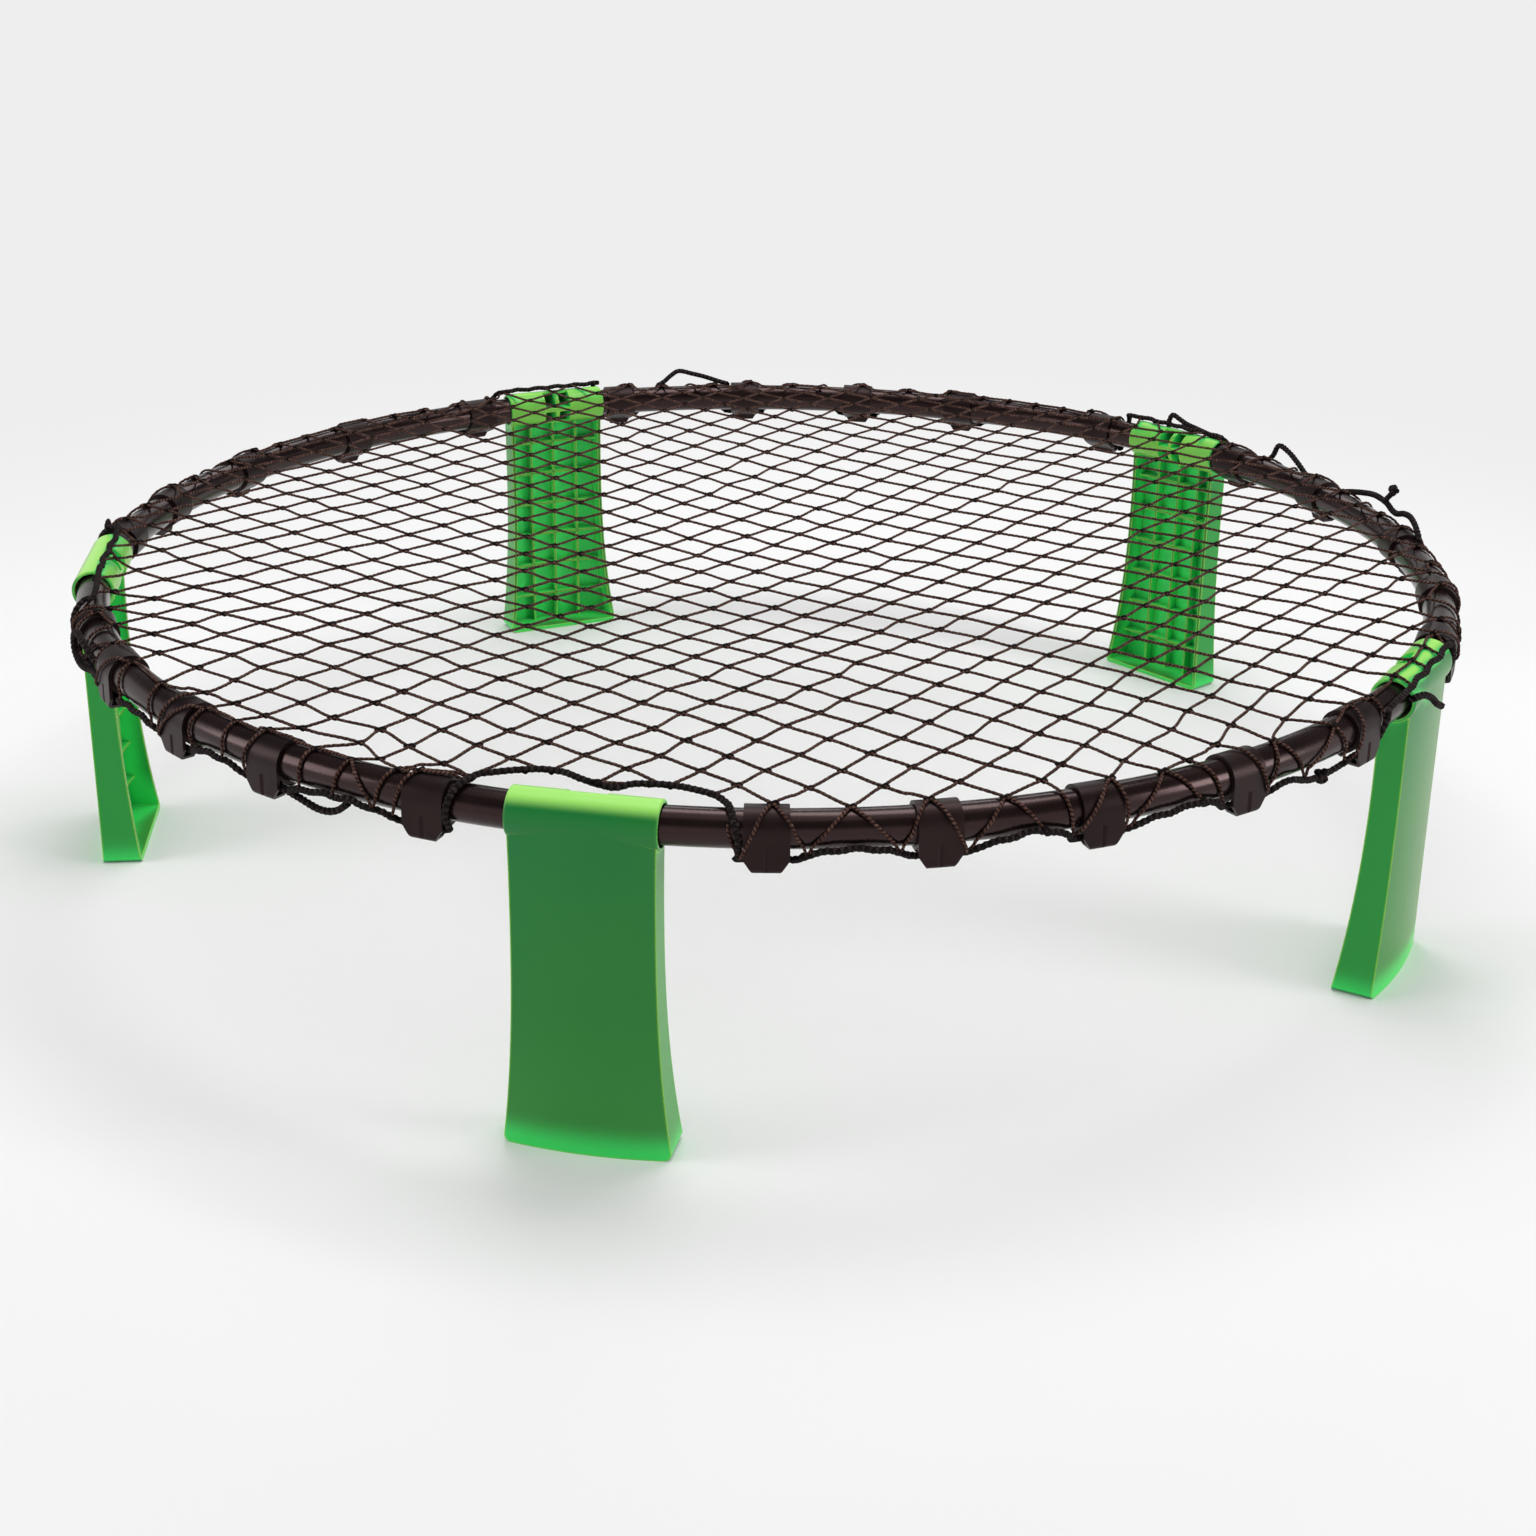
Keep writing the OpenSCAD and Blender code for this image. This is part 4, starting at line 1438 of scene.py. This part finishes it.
@dataclass
class KnottedNet:
    """The square-meshed net: its knots on a pulled lattice, and two sets of cords between them.

    Knots laid one by one are {(number, number): (azimuth, millimetres outward from the rim's crest)}. The
    lengths past_rope to crest_band, in metres, say which knots the rim's crest or the rope holds.
    """

    lie: NetLie
    pitch: float = 0.0275
    slant_deg: float = -26.6
    middle: complex = -0.011 + 0.0j
    corner_pull: float = 0.017
    fan: float = 0.010
    pull_r: float = 0.400
    far: int = 19
    ring_step: float = 0.0014
    wave: float = 0.0004
    jitter: float = 0.0009
    bend: float = 0.3
    seed: int = 11
    evening: int = 150
    past_rope: float = 0.012
    short_turn: float = 0.015
    near_rope: float = 0.009
    near_crest: float = 0.006
    next_row: float = 0.010
    crest_band: float = 0.024
    crest_mm: float = 8
    laid: dict[tuple[int, int], tuple[float, float]] = field(default_factory=lambda: dict(LAID_KNOTS))
    lattice: dict[tuple[int, int], complex] = field(default_factory=dict)

    def flat_knot(self, i: float, j: float) -> complex:
        """A knot's place in the flat net, pulled toward the rim's corners as a square net is.

        Args:
            i: its number along one set of cords.
            j: its number along the other.

        Returns:
            The place, as one complex number.
        """
        way = complex(math.cos(math.radians(self.slant_deg)), math.sin(math.radians(self.slant_deg)))
        q = complex(i, j) * self.pitch
        near = q / self.pull_r
        near /= max(1.0, abs(near))
        return self.middle + q * way - self.corner_pull * near.conjugate() ** 3 + self.fan * near**2

    def around(self, key: tuple[int, int]) -> list[tuple[int, int]]:
        """The four knots next to one."""
        i, j = key
        return [(i + 1, j), (i - 1, j), (i, j + 1), (i, j - 1)]

    def held_by(self, key: tuple[int, int], rows: dict, holds: dict) -> Hold | None:
        """What holds a knot that isn't laid by hand, or None past the rope.

        Args:
            key: the knot's two numbers.
            rows: the pulled lattice.
            holds: what holds the knots nearer to the middle.

        Returns:
            The hold.
        """
        r = abs(rows[key])
        reach = self.lie.reach(azimuth_of(rows[key]))
        crest = self.lie.rim.radius
        if r > reach + self.past_rope:
            return None
        if reach - crest < self.short_turn:
            return Hold.ROPE if r > reach - self.near_rope else Hold.FREE
        if r < crest - self.near_crest:
            return Hold.FREE
        crested = [k for k in self.around(key) if holds.get(k) is Hold.CREST]
        inward = [k for k in crested if abs(rows[k]) < r - self.next_row]
        return Hold.CREST if r < crest + self.crest_band and not inward else Hold.ROPE

    def seat(self, place: complex, hold: Hold) -> complex:
        """Draws a knot to the rim's crest or to the rope, where that holds it.

        Args:
            place: the knot's place in the flat net.
            hold: what holds it.

        Returns:
            The place where it's held.
        """
        if hold is Hold.CREST:
            return place / abs(place) * self.lie.rim.radius
        if hold is Hold.ROPE:
            azimuth = self.lie.rope.meet(azimuth_of(place))
            return flat_at(azimuth, self.lie.reach(azimuth))
        return place

    def seated(self) -> tuple[dict[tuple[int, int], complex], dict[tuple[int, int], Hold]]:
        """Takes the lattice's knots up to the rope and seats those at the rim.

        Returns:
            Each knot's place and its hold, by its two numbers.
        """
        holds: dict[tuple[int, int], Hold] = {}
        rows: dict[tuple[int, int], complex] = {}
        for key in sorted(self.lattice, key=lambda k: abs(self.lattice[k])):
            if key in self.laid:
                azimuth, out = self.laid[key]
                reach = min(self.lie.rim.radius + out / MM_PER_M, self.lie.reach(azimuth))
                holds[key] = Hold.CREST if abs(out) < self.crest_mm else Hold.FIXED
                rows[key] = flat_at(azimuth, reach)
                continue
            hold = self.held_by(key, self.lattice, holds)
            if hold:
                holds[key] = hold
                rows[key] = self.seat(self.lattice[key], hold)
        return rows, holds

    def evened(self, rows: dict, holds: dict) -> dict[tuple[int, int], complex]:
        """Moves each knot halfway toward the middle of those next to it, as far as its hold lets it.

        Args:
            rows: the knots' places.
            holds: what holds them.

        Returns:
            The knots' new places.
        """
        fresh = {}
        for key, place in rows.items():
            near = [rows[k] for k in self.around(key) if k in rows]
            if key in self.laid or not near or (holds[key] is Hold.FREE and len(near) < 4):
                fresh[key] = place
                continue
            fresh[key] = self.seat(0.5 * place + 0.5 * sum(near) / len(near), holds[key])
        return fresh

    def knots(self) -> tuple[dict[tuple[int, int], complex], dict[tuple[int, int], Hold]]:
        """All knots up to the rope, those at the rim seated on its crest or at the rope, the rest evened out.

        Returns:
            Each knot's place and its hold, by its two numbers.
        """
        span = range(-self.far, self.far + 1)
        self.lattice = {(i, j): self.flat_knot(i, j) for i in span for j in span}
        rows, holds = self.seated()
        for _ in range(self.evening):
            rows = self.evened(rows, holds)
        rng = np.random.default_rng(self.seed)
        for key in sorted(rows):
            shift = complex(*rng.normal(0.0, self.jitter, 2))
            if holds[key] is Hold.FREE:
                rows[key] += shift
        return rows, holds

    def loose_end(self, key: tuple[int, int], beyond: tuple[int, int], place: complex) -> complex | None:
        """Where the cord from a knot toward the next one outward meets the rope.

        Args:
            key: the knot.
            beyond: the missing knot past the rope.
            place: the knot's place.

        Returns:
            The place on the rope, beside any clip, or None where the knot is at the rope already.
        """
        step = self.lattice[beyond] - self.lattice[key]
        per_step, steps, nearest = 20, 60, 4
        for n in range(1, steps):
            there = place + step * n / per_step
            if abs(there) >= self.lie.reach(azimuth_of(there)):
                if n < nearest:
                    return None
                azimuth = self.lie.rope.meet(azimuth_of(there))
                return flat_at(azimuth, self.lie.reach(azimuth))
        return None

    def chains(self, rows: dict, holds: dict, across: bool) -> tuple[list[list[complex]], list[complex]]:
        """The knots along each cord of one set, from the rope on one side to the rope on the other.

        Args:
            rows: the knots' places.
            holds: what holds them.
            across: which of the two sets.

        Returns:
            The flat points of each chain, and the loose ends among them.
        """
        chains: list[list[complex]] = []
        ends: list[complex] = []
        span = range(-self.far, self.far + 1)
        for a in span:
            keys = [(a, b) if across else (b, a) for b in span]
            run: list[tuple[int, int]] = []
            for here, after in zip(keys, [*keys[1:], None]):
                if here in rows:
                    run.append(here)
                both = here in rows and after in rows
                at_rope = both and holds[here] is holds[after] is Hold.ROPE
                if both and not at_rope:
                    continue
                if run and not both:
                    chains.append(self.close_run(run, rows, holds, keys, ends))
                elif len(run) > 1:
                    chains.append([rows[k] for k in run])
                run = []
        return [c for c in chains if len(c) > 1], ends

    def close_run(self, run: list, rows: dict, holds: dict, keys: list, ends: list[complex]) -> list[complex]:
        """Adds a run's loose ends at the rope.

        Args:
            run: the knots of one cord that follow each other.
            rows: the knots' places.
            holds: what holds them.
            keys: all the knots that the cord could have.
            ends: the list that takes the loose ends.

        Returns:
            The flat points of the cord.
        """
        chain = [rows[k] for k in run]
        for at_start in (True, False):
            key = run[0 if at_start else -1]
            n = keys.index(key) + (-1 if at_start else 1)
            if holds[key] is Hold.ROPE or not 0 <= n < len(keys) or keys[n] in rows:
                continue
            end = self.loose_end(key, keys[n], rows[key])
            if end is not None:
                chain.insert(0 if at_start else len(chain), end)
                ends.append(end)
        return chain

    def lay(self, chain: Sequence[complex], number: int) -> list[Vector]:
        """Lays a cord through the knots of a chain.

        Args:
            chain: the flat places of its knots and ends.
            number: the chain's number, which sets the way its cord waves.

        Returns:
            The points of the cord, a ring apart.
        """
        line = [2 * chain[0] - chain[1], *chain, 2 * chain[-1] - chain[-2]]
        between = 20
        fine = []
        for n in range(1, len(line) - 2):
            p0, p1, p2, p3 = line[n - 1 : n + 3]
            lean, land = self.bend * (p2 - p0), self.bend * (p3 - p1)
            side = (p2 - p1) * 1j / max(abs(p2 - p1), 1e-6)
            flip = 1 if (number + n) % 2 else -1
            for k in range(between):
                t = k / between
                flat = (
                    (2 * t**3 - 3 * t * t + 1) * p1
                    + (t**3 - 2 * t * t + t) * lean
                    + (3 * t * t - 2 * t**3) * p2
                    + (t**3 - t * t) * land
                )
                flat += side * self.wave * flip * math.sin(2 * math.pi * t)
                fine.append(self.lie.place(flat)[0])
        fine.append(self.lie.place(chain[-1])[0])
        return even_path(fine, self.ring_step)

    def knot_spots(self, rows: dict, holds: dict, ends: Sequence[complex]) -> list[KnotSpot]:
        """The knots of the net, and the hitches of its loose ends round the rope.

        Args:
            rows: the knots' places.
            holds: what holds them.
            ends: the flat places of the loose ends.

        Returns:
            A spot for each knot, then one for each hitch.
        """
        smallest, largest, rope_knot, hitch, look_back, still = 0.9, 1.12, 1.2, 1.1, 0.03, 1e-5
        spots = []
        rng = np.random.default_rng(self.seed + 1)
        for (i, j), flat in sorted(rows.items()):
            place, facing = self.lie.place(flat)
            ahead = rows.get((i + 1, j), flat) - rows.get((i - 1, j), flat)
            ahead += rows.get((i, j + 1), flat) - rows.get((i, j - 1), flat)
            along = place - self.lie.place(flat - ahead * look_back)[0]
            if along.length < still:
                along = self.lie.rim.outward(azimuth_of(flat) + 90)
            size = float(rng.uniform(smallest, largest)) * (rope_knot if holds[i, j] is Hold.ROPE else 1.0)
            spots.append(KnotSpot(place, facing, along.normalized(), size))
        for flat in ends:
            place, facing = self.lie.place(flat)
            spots.append(KnotSpot(place, facing, self.lie.rim.outward(azimuth_of(flat) + 90), hitch))
        return spots


def knot_form(name: str, long: float, wide: float, thick: float, strand: float) -> bpy.types.Object:
    """One knot: a strand that loops in a flat figure of eight and draws the crossing together.

    Args:
        name: the form's name.
        long: half the knot's length.
        wide: half its width.
        thick: half its height.
        strand: radius of the strand.

    Returns:
        The form, at the origin, with X along the knot.
    """
    rings, sides, rise = 14, 4, 0.6
    form = bmesh.new()
    centre = []
    for n in range(rings):
        t = 2 * math.pi * n / rings
        centre.append(Vector((long * math.sin(t), wide * math.sin(2 * t), thick * math.cos(t) * rise)))
    loops = []
    for n in range(rings):
        ahead = (centre[(n + 1) % rings] - centre[n - 1]).normalized()
        side = ahead.cross(UPWARD).normalized()
        lift = side.cross(ahead)
        loops.append(
            [
                form.verts.new(centre[n] + strand * (side * math.cos(a) + lift * math.sin(a)))
                for a in (2 * math.pi * k / sides for k in range(sides))
            ]
        )
    for n in range(rings):
        near, far = loops[n], loops[(n + 1) % rings]
        for k in range(sides):
            form.faces.new((near[k], near[(k + 1) % sides], far[(k + 1) % sides], far[k]))
    bmesh.ops.recalc_face_normals(form, faces=form.faces)
    mesh = bpy.data.meshes.new(name)
    form.to_mesh(mesh)
    form.free()
    made = bpy.data.objects.new(name, mesh)
    bpy.context.scene.collection.objects.link(made)
    return made


# ---------- assemblies ----------


class Slot(Enum):
    """Names of two material slots, for the net's cords and the rope; no piece here takes them."""

    NET = "net_cord"
    ROPE = "rope"


def dress(node: str, material: bpy.types.Material) -> None:
    """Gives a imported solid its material.

    Args:
        node: the solid's name.
        material: its finish.
    """
    target = frame["nodes"][node]
    if not target.material_slots:
        target.data.materials.append(material)
    for place in target.material_slots:
        place.material = material
    LOG.info("dressed %s in %s", node, material.name)


def add_piece(
    piece: bpy.types.Object,
    body: str = RIM_BODY,
    stands_for: Iterable[str] = (),
) -> None:
    """Puts a new piece on its body.

    Args:
        piece: the finished piece.
        body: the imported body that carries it.
        stands_for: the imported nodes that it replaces.
    """
    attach(piece, body)
    names = list(stands_for)
    if names:
        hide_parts(*names)
    LOG.info("made %s: %d faces on %s", piece.name, len(piece.data.polygons), body)


RIM_PAINT = PaintFinish(
    "rim_paint",
    body=(0.0065, 0.0028, 0.0031, 1),
    worn=(0.013, 0.007, 0.007, 1),
    roughness=0.18,
    specular=0.44,
    grain=0.04,
)
CLIP_MOULDING = PaintFinish(
    "clip_moulding",
    body=(0.006, 0.003, 0.0035, 1),
    worn=(0.022, 0.013, 0.013, 1),
    roughness=0.34,
    specular=0.24,
    grain=0.12,
)
NET_CORD = CordFinish(
    "net_cord_lay",
    body=(0.062, 0.027, 0.021, 1),
    groove_shade=(0.004, 0.002, 0.002, 1),
    light=(0.150, 0.080, 0.062, 1),
    pitch=0.0025,
    lay=Lay.TWIST,
)
ROPE_BRAID = CordFinish(
    "rope_braid",
    body=(0.020, 0.012, 0.013, 1),
    groove_shade=(0.004, 0.003, 0.003, 1),
    light=(0.044, 0.030, 0.031, 1),
    pitch=0.0036,
    lay=Lay.BRAID,
)


@dataclass
class RimAssembly:
    """The five tubes and the twenty-five clips."""

    kit: Finishes

    def build(self) -> None:
        """Dresses the tubes and the clips."""
        tube = RIM_PAINT.make(self.kit)
        clip = CLIP_MOULDING.make(self.kit)
        for number in range(1, LEGS + 1):
            dress(f"rim_tube_{number}", tube)
        for number in range(1, LEGS * CLIPS_PER_TUBE + 1):
            dress(f"net_clip_{number}", clip)


@dataclass
class LegAssembly:
    """The five folding legs."""

    kit: Finishes

    def build(self) -> None:
        """Dresses the legs."""
        plastic = LegFinish().make(self.kit)
        for number in range(1, LEGS + 1):
            dress(f"leg_{number}", plastic)


@dataclass(frozen=True)
class CordForm:
    """A cord's form: its radius, the length of one twist, the sides of its section and its lay."""

    radius: float
    pitch: float
    sides: int
    lay: Lay


@dataclass
class NetAssembly:
    """The net with its knots, and the rope with its knots and loops."""

    kit: Finishes
    rim: Rim
    strand_height: float = 0.3
    net_twist: float = 0.0021
    rope_twist: float = 0.0036
    slack_twist: float = 0.0030
    tie_form: CordForm = CordForm(radius=0.0017, pitch=0.0030, sides=10, lay=Lay.BRAID)
    ball_form: CordForm = CordForm(radius=0.0014, pitch=0.0028, sides=8, lay=Lay.BRAID)
    tree: Tree = field(default_factory=cord_tree)

    def grow_cord(
        self,
        name: str,
        chains: list[list[Vector]],
        form: CordForm,
        finish: bpy.types.Material,
        closed: bool = False,
    ) -> bpy.types.Object:
        """Grows cords along chains of points.

        Args:
            name: the piece's name.
            chains: the points of each cord.
            form: the cord's form.
            finish: its material.
            closed: True where the chains are rings.

        Returns:
            The piece.
        """
        return self.tree.grow(
            name,
            chains_mesh(name + "_runs", chains, closed=closed),
            {
                "Radius": form.radius,
                "Sides": form.sides,
                "Strand Height": form.radius * self.strand_height,
                "Pitch": form.pitch,
                "Braid": form.lay.value,
                "Material": finish,
            },
        )

    def build_net(self, net: KnottedNet, finish: bpy.types.Material) -> None:
        """Makes the net's two sets of cords and its knots.

        Args:
            net: the net's lattice and how it lies.
            finish: the cord's material.
        """
        form = CordForm(net.lie.cord_r, self.net_twist, sides=6, lay=Lay.TWIST)
        rows, holds = net.knots()
        loose: list[complex] = []
        edges = [f"net_edge_{n}" for n in range(1, LEGS + 1)]
        for name, across, stands_for in (("net_cords_a", True, ["net"]), ("net_cords_b", False, edges)):
            chains, ends = net.chains(rows, holds, across)
            loose += ends
            runs = [net.lay(chain, n) for n, chain in enumerate(chains)]
            add_piece(self.grow_cord(name, runs, form, finish), stands_for=stands_for)
        knot = knot_form("knot_form", long=0.0022, wide=0.0012, thick=0.0008, strand=0.00105)
        spots = spots_mesh("net_knot_spots", net.knot_spots(rows, holds, loose))
        knots = knot_tree().grow("net_knots", spots, {"Form": knot, "Material": finish})
        bpy.data.objects.remove(knot)
        add_piece(knots)

    def build_rope(self, rope: EdgeRope, slack: RopeSlack, finish: bpy.types.Material) -> None:
        """Makes the rope, its loops and ends, the knot that ties it and the knots on its ends.

        Args:
            rope: the rope's course.
            slack: its loops, ends and knots.
            finish: the rope's material.
        """
        form = CordForm(rope.radius, self.rope_twist, sides=12, lay=Lay.BRAID)
        piece = self.grow_cord("edge_rope_braid", [rope.course()], form, finish, closed=True)
        add_piece(piece, stands_for=["edge_rope"])
        form = CordForm(slack.radius, self.slack_twist, sides=10, lay=Lay.BRAID)
        loops = [slack.course(rows) for rows in (*slack.loops, *slack.ends)]
        add_piece(self.grow_cord("rope_loops", loops, form, finish))
        tied = slack.knot_turns(rope.knot_at, *slack.tie)
        piece = self.grow_cord("rope_tie", [tied], self.tie_form, finish, closed=True)
        add_piece(piece, stands_for=["rope_knot"])
        balls = [slack.knot_turns(*spot) for spot in slack.knots]
        add_piece(self.grow_cord("rope_balls", balls, self.ball_form, finish, closed=True))

    def build(self) -> None:
        """Makes the net, then the rope."""
        rope = EdgeRope(self.rim)
        self.build_net(KnottedNet(NetLie(self.rim, rope)), NET_CORD.make(self.kit))
        self.build_rope(rope, RopeSlack(self.rim), ROPE_BRAID.make(self.kit))


# ---------- studio ----------


@dataclass(frozen=True)
class Lamp:
    """A soft lamp: where it hangs, its width and height in metres, and its power in watts."""

    name: str
    place: tuple[float, float, float]
    size: tuple[float, float]
    power: float


LAMPS = (
    Lamp("overhead_softbox", (0.1, 0.5, 2.3), (1.6, 0.9), 22.0),
    Lamp("back_softbox", (-0.3, 2.1, 1.7), (1.3, 0.5), 6.0),
    Lamp("right_softbox", (2.4, -0.4, 0.9), (0.9, 0.9), 20.0),
    Lamp("left_fill", (-2.2, -1.1, 1.1), (1.2, 1.2), 20.0),
)


@dataclass
class Studio:
    """Camera, lights, world and floor.

    A span holds the height of a direction, or the distance on the floor, at which one look gives way
    to the next.
    """

    rim: Rim
    azimuth: float = 11.82
    elevation: float = 18.02
    distance: float = 1.6484
    roll: float = 0.674
    sensor: float = 36.0
    lens: float = 56.24
    shift_x: float = 0.0006
    shift_y: float = -0.1372
    view_end: float = 100
    backdrop: float = 0.855
    zenith: float = 0.8
    horizon: float = 0.12
    glow_span: Span = (0.0, 0.95)
    ceiling: float = 0.10
    ceiling_span: Span = (0.2, 0.45)
    opening_span: Span = (0.86, 0.96)
    floor_half: float = 20.0
    floor_fade: Span = (0.55, 1.5)
    paper: float = 0.82
    paper_roughness: float = 0.9
    paper_specular: float = 0.1

    def camera(self) -> None:
        """Sets the camera on the rim's centre, with the frame's middle below it."""
        a, e = math.radians(self.azimuth), math.radians(self.elevation)
        aim = Vector((0, 0, self.rim.height))
        back = Vector((math.cos(e) * math.sin(a), -math.cos(e) * math.cos(a), math.sin(e)))
        right = UPWARD.cross(back).normalized()
        up = back.cross(right)
        turned = Matrix.Rotation(math.radians(self.roll), 3, back)
        right, up = turned @ right, turned @ up
        data = bpy.data.cameras.new("view_camera")
        data.sensor_width, data.lens = self.sensor, self.lens
        data.sensor_fit = "HORIZONTAL"
        data.shift_x, data.shift_y = self.shift_x, self.shift_y
        data.clip_end = self.view_end
        camera = bpy.data.objects.new("view_camera", data)
        place = aim + back * self.distance
        rows = [(right[k], up[k], back[k], place[k]) for k in range(3)]
        camera.matrix_world = Matrix([*rows, (0, 0, 0, 1)])
        bpy.context.scene.collection.objects.link(camera)
        bpy.context.scene.camera = camera

    def hang(self, lamp: Lamp) -> None:
        """Adds a soft lamp aimed at the rim.

        Args:
            lamp: the lamp.
        """
        data = bpy.data.lights.new(lamp.name, "AREA")
        data.shape, data.energy = "RECTANGLE", lamp.power
        data.size, data.size_y = lamp.size
        hung = bpy.data.objects.new(lamp.name, data)
        hung.location = lamp.place
        aim = Vector((0, 0, self.rim.height)) - Vector(lamp.place)
        hung.rotation_euler = aim.to_track_quat("-Z", "Y").to_euler()
        bpy.context.scene.collection.objects.link(hung)

    def grey(self, value: float) -> Colour:
        """A plain grey."""
        return (value, value, value, 1)

    def plainly_seen(self, sh: Shader) -> bpy.types.NodeSocket:
        """Finds the rays that show the backdrop: the camera's, and those mirrored or let through to it.

        Args:
            sh: the shader that asks.

        Returns:
            An output that is 1 for such rays.
        """
        rays = sh.node("ShaderNodeLightPath").outputs
        seen = sh.math("ADD", rays["Is Camera Ray"], rays["Is Glossy Ray"])
        return sh.math("MINIMUM", sh.math("ADD", seen, rays["Is Transmission Ray"]), 1.0)

    def world(self) -> None:
        """Sets a surrounding that lights from above and is seen as a plain backdrop under a dark ceiling."""
        world = bpy.data.worlds.new("pale_surrounding")
        bpy.context.scene.world = world
        world.use_nodes = True
        world.node_tree.nodes.clear()
        sh = Shader(world.node_tree)
        coordinates = sh.node("ShaderNodeTexCoord").outputs["Generated"]
        height = sh.node("ShaderNodeSeparateXYZ", {0: coordinates}).outputs["Z"]
        more = sh.math("MULTIPLY", sh.ramp(height, *self.glow_span), self.zenith - self.horizon)
        strength = sh.math("ADD", self.horizon, more)
        glow = sh.node("ShaderNodeBackground", {"Color": self.grey(1), "Strength": strength})
        dark = sh.math(
            "SUBTRACT", sh.ramp(height, *self.ceiling_span), sh.ramp(height, *self.opening_span)
        )
        colour = sh.mix(dark, self.grey(self.backdrop), self.grey(self.ceiling))
        shown = sh.node("ShaderNodeBackground", {"Color": colour})
        looks = {0: self.plainly_seen(sh), 1: glow.outputs[0], 2: shown.outputs[0]}
        both = sh.node("ShaderNodeMixShader", looks)
        sh.node("ShaderNodeOutputWorld", {"Surface": both.outputs[0]})

    def floor(self, kit: Finishes) -> None:
        """Lays a pale floor that runs into the backdrop away from the object.

        Args:
            kit: the shared groups.
        """
        mesh = bpy.data.meshes.new("floor")
        half = self.floor_half
        corners = [(-half, -half, 0), (half, -half, 0), (half, half, 0), (-half, half, 0)]
        mesh.from_pydata(corners, [], [(0, 1, 2, 3)])
        plane = bpy.data.objects.new("floor", mesh)
        bpy.context.scene.collection.objects.link(plane)
        material, sh, surface = kit.start("floor_paper")
        sh.fill(
            surface,
            {
                "Base Color": self.grey(self.paper),
                "Roughness": self.paper_roughness,
                "Specular IOR Level": self.paper_specular,
            },
        )
        place = sh.node("ShaderNodeTexCoord").outputs["Object"]
        away = sh.node("ShaderNodeVectorMath", {0: place}, operation="LENGTH").outputs["Value"]
        far = sh.math("MULTIPLY", sh.ramp(away, *self.floor_fade), self.plainly_seen(sh))
        glow = sh.node("ShaderNodeEmission", {"Color": self.grey(self.backdrop)})
        both = sh.node("ShaderNodeMixShader", {0: far, 1: surface.outputs[0], 2: glow.outputs[0]})
        out = next(n for n in sh.tree.nodes if n.type == "OUTPUT_MATERIAL")
        sh.tree.links.new(both.outputs[0], out.inputs["Surface"])
        mesh.materials.append(material)

    def build(self, kit: Finishes) -> None:
        """Makes the whole studio.

        Args:
            kit: the shared groups.
        """
        bpy.context.scene.view_settings.view_transform = "Standard"
        self.camera()
        self.world()
        self.floor(kit)
        for lamp in LAMPS:
            self.hang(lamp)


def main() -> None:
    """Builds the studio and the assemblies, in order."""
    logging.basicConfig(level=logging.INFO, format="%(name)s: %(message)s")
    kit = Finishes()
    rim = Rim()
    Studio(rim).build(kit)
    NetAssembly(kit, rim).build()
    RimAssembly(kit).build()
    LegAssembly(kit).build()


if __name__ == "__main__":
    main()
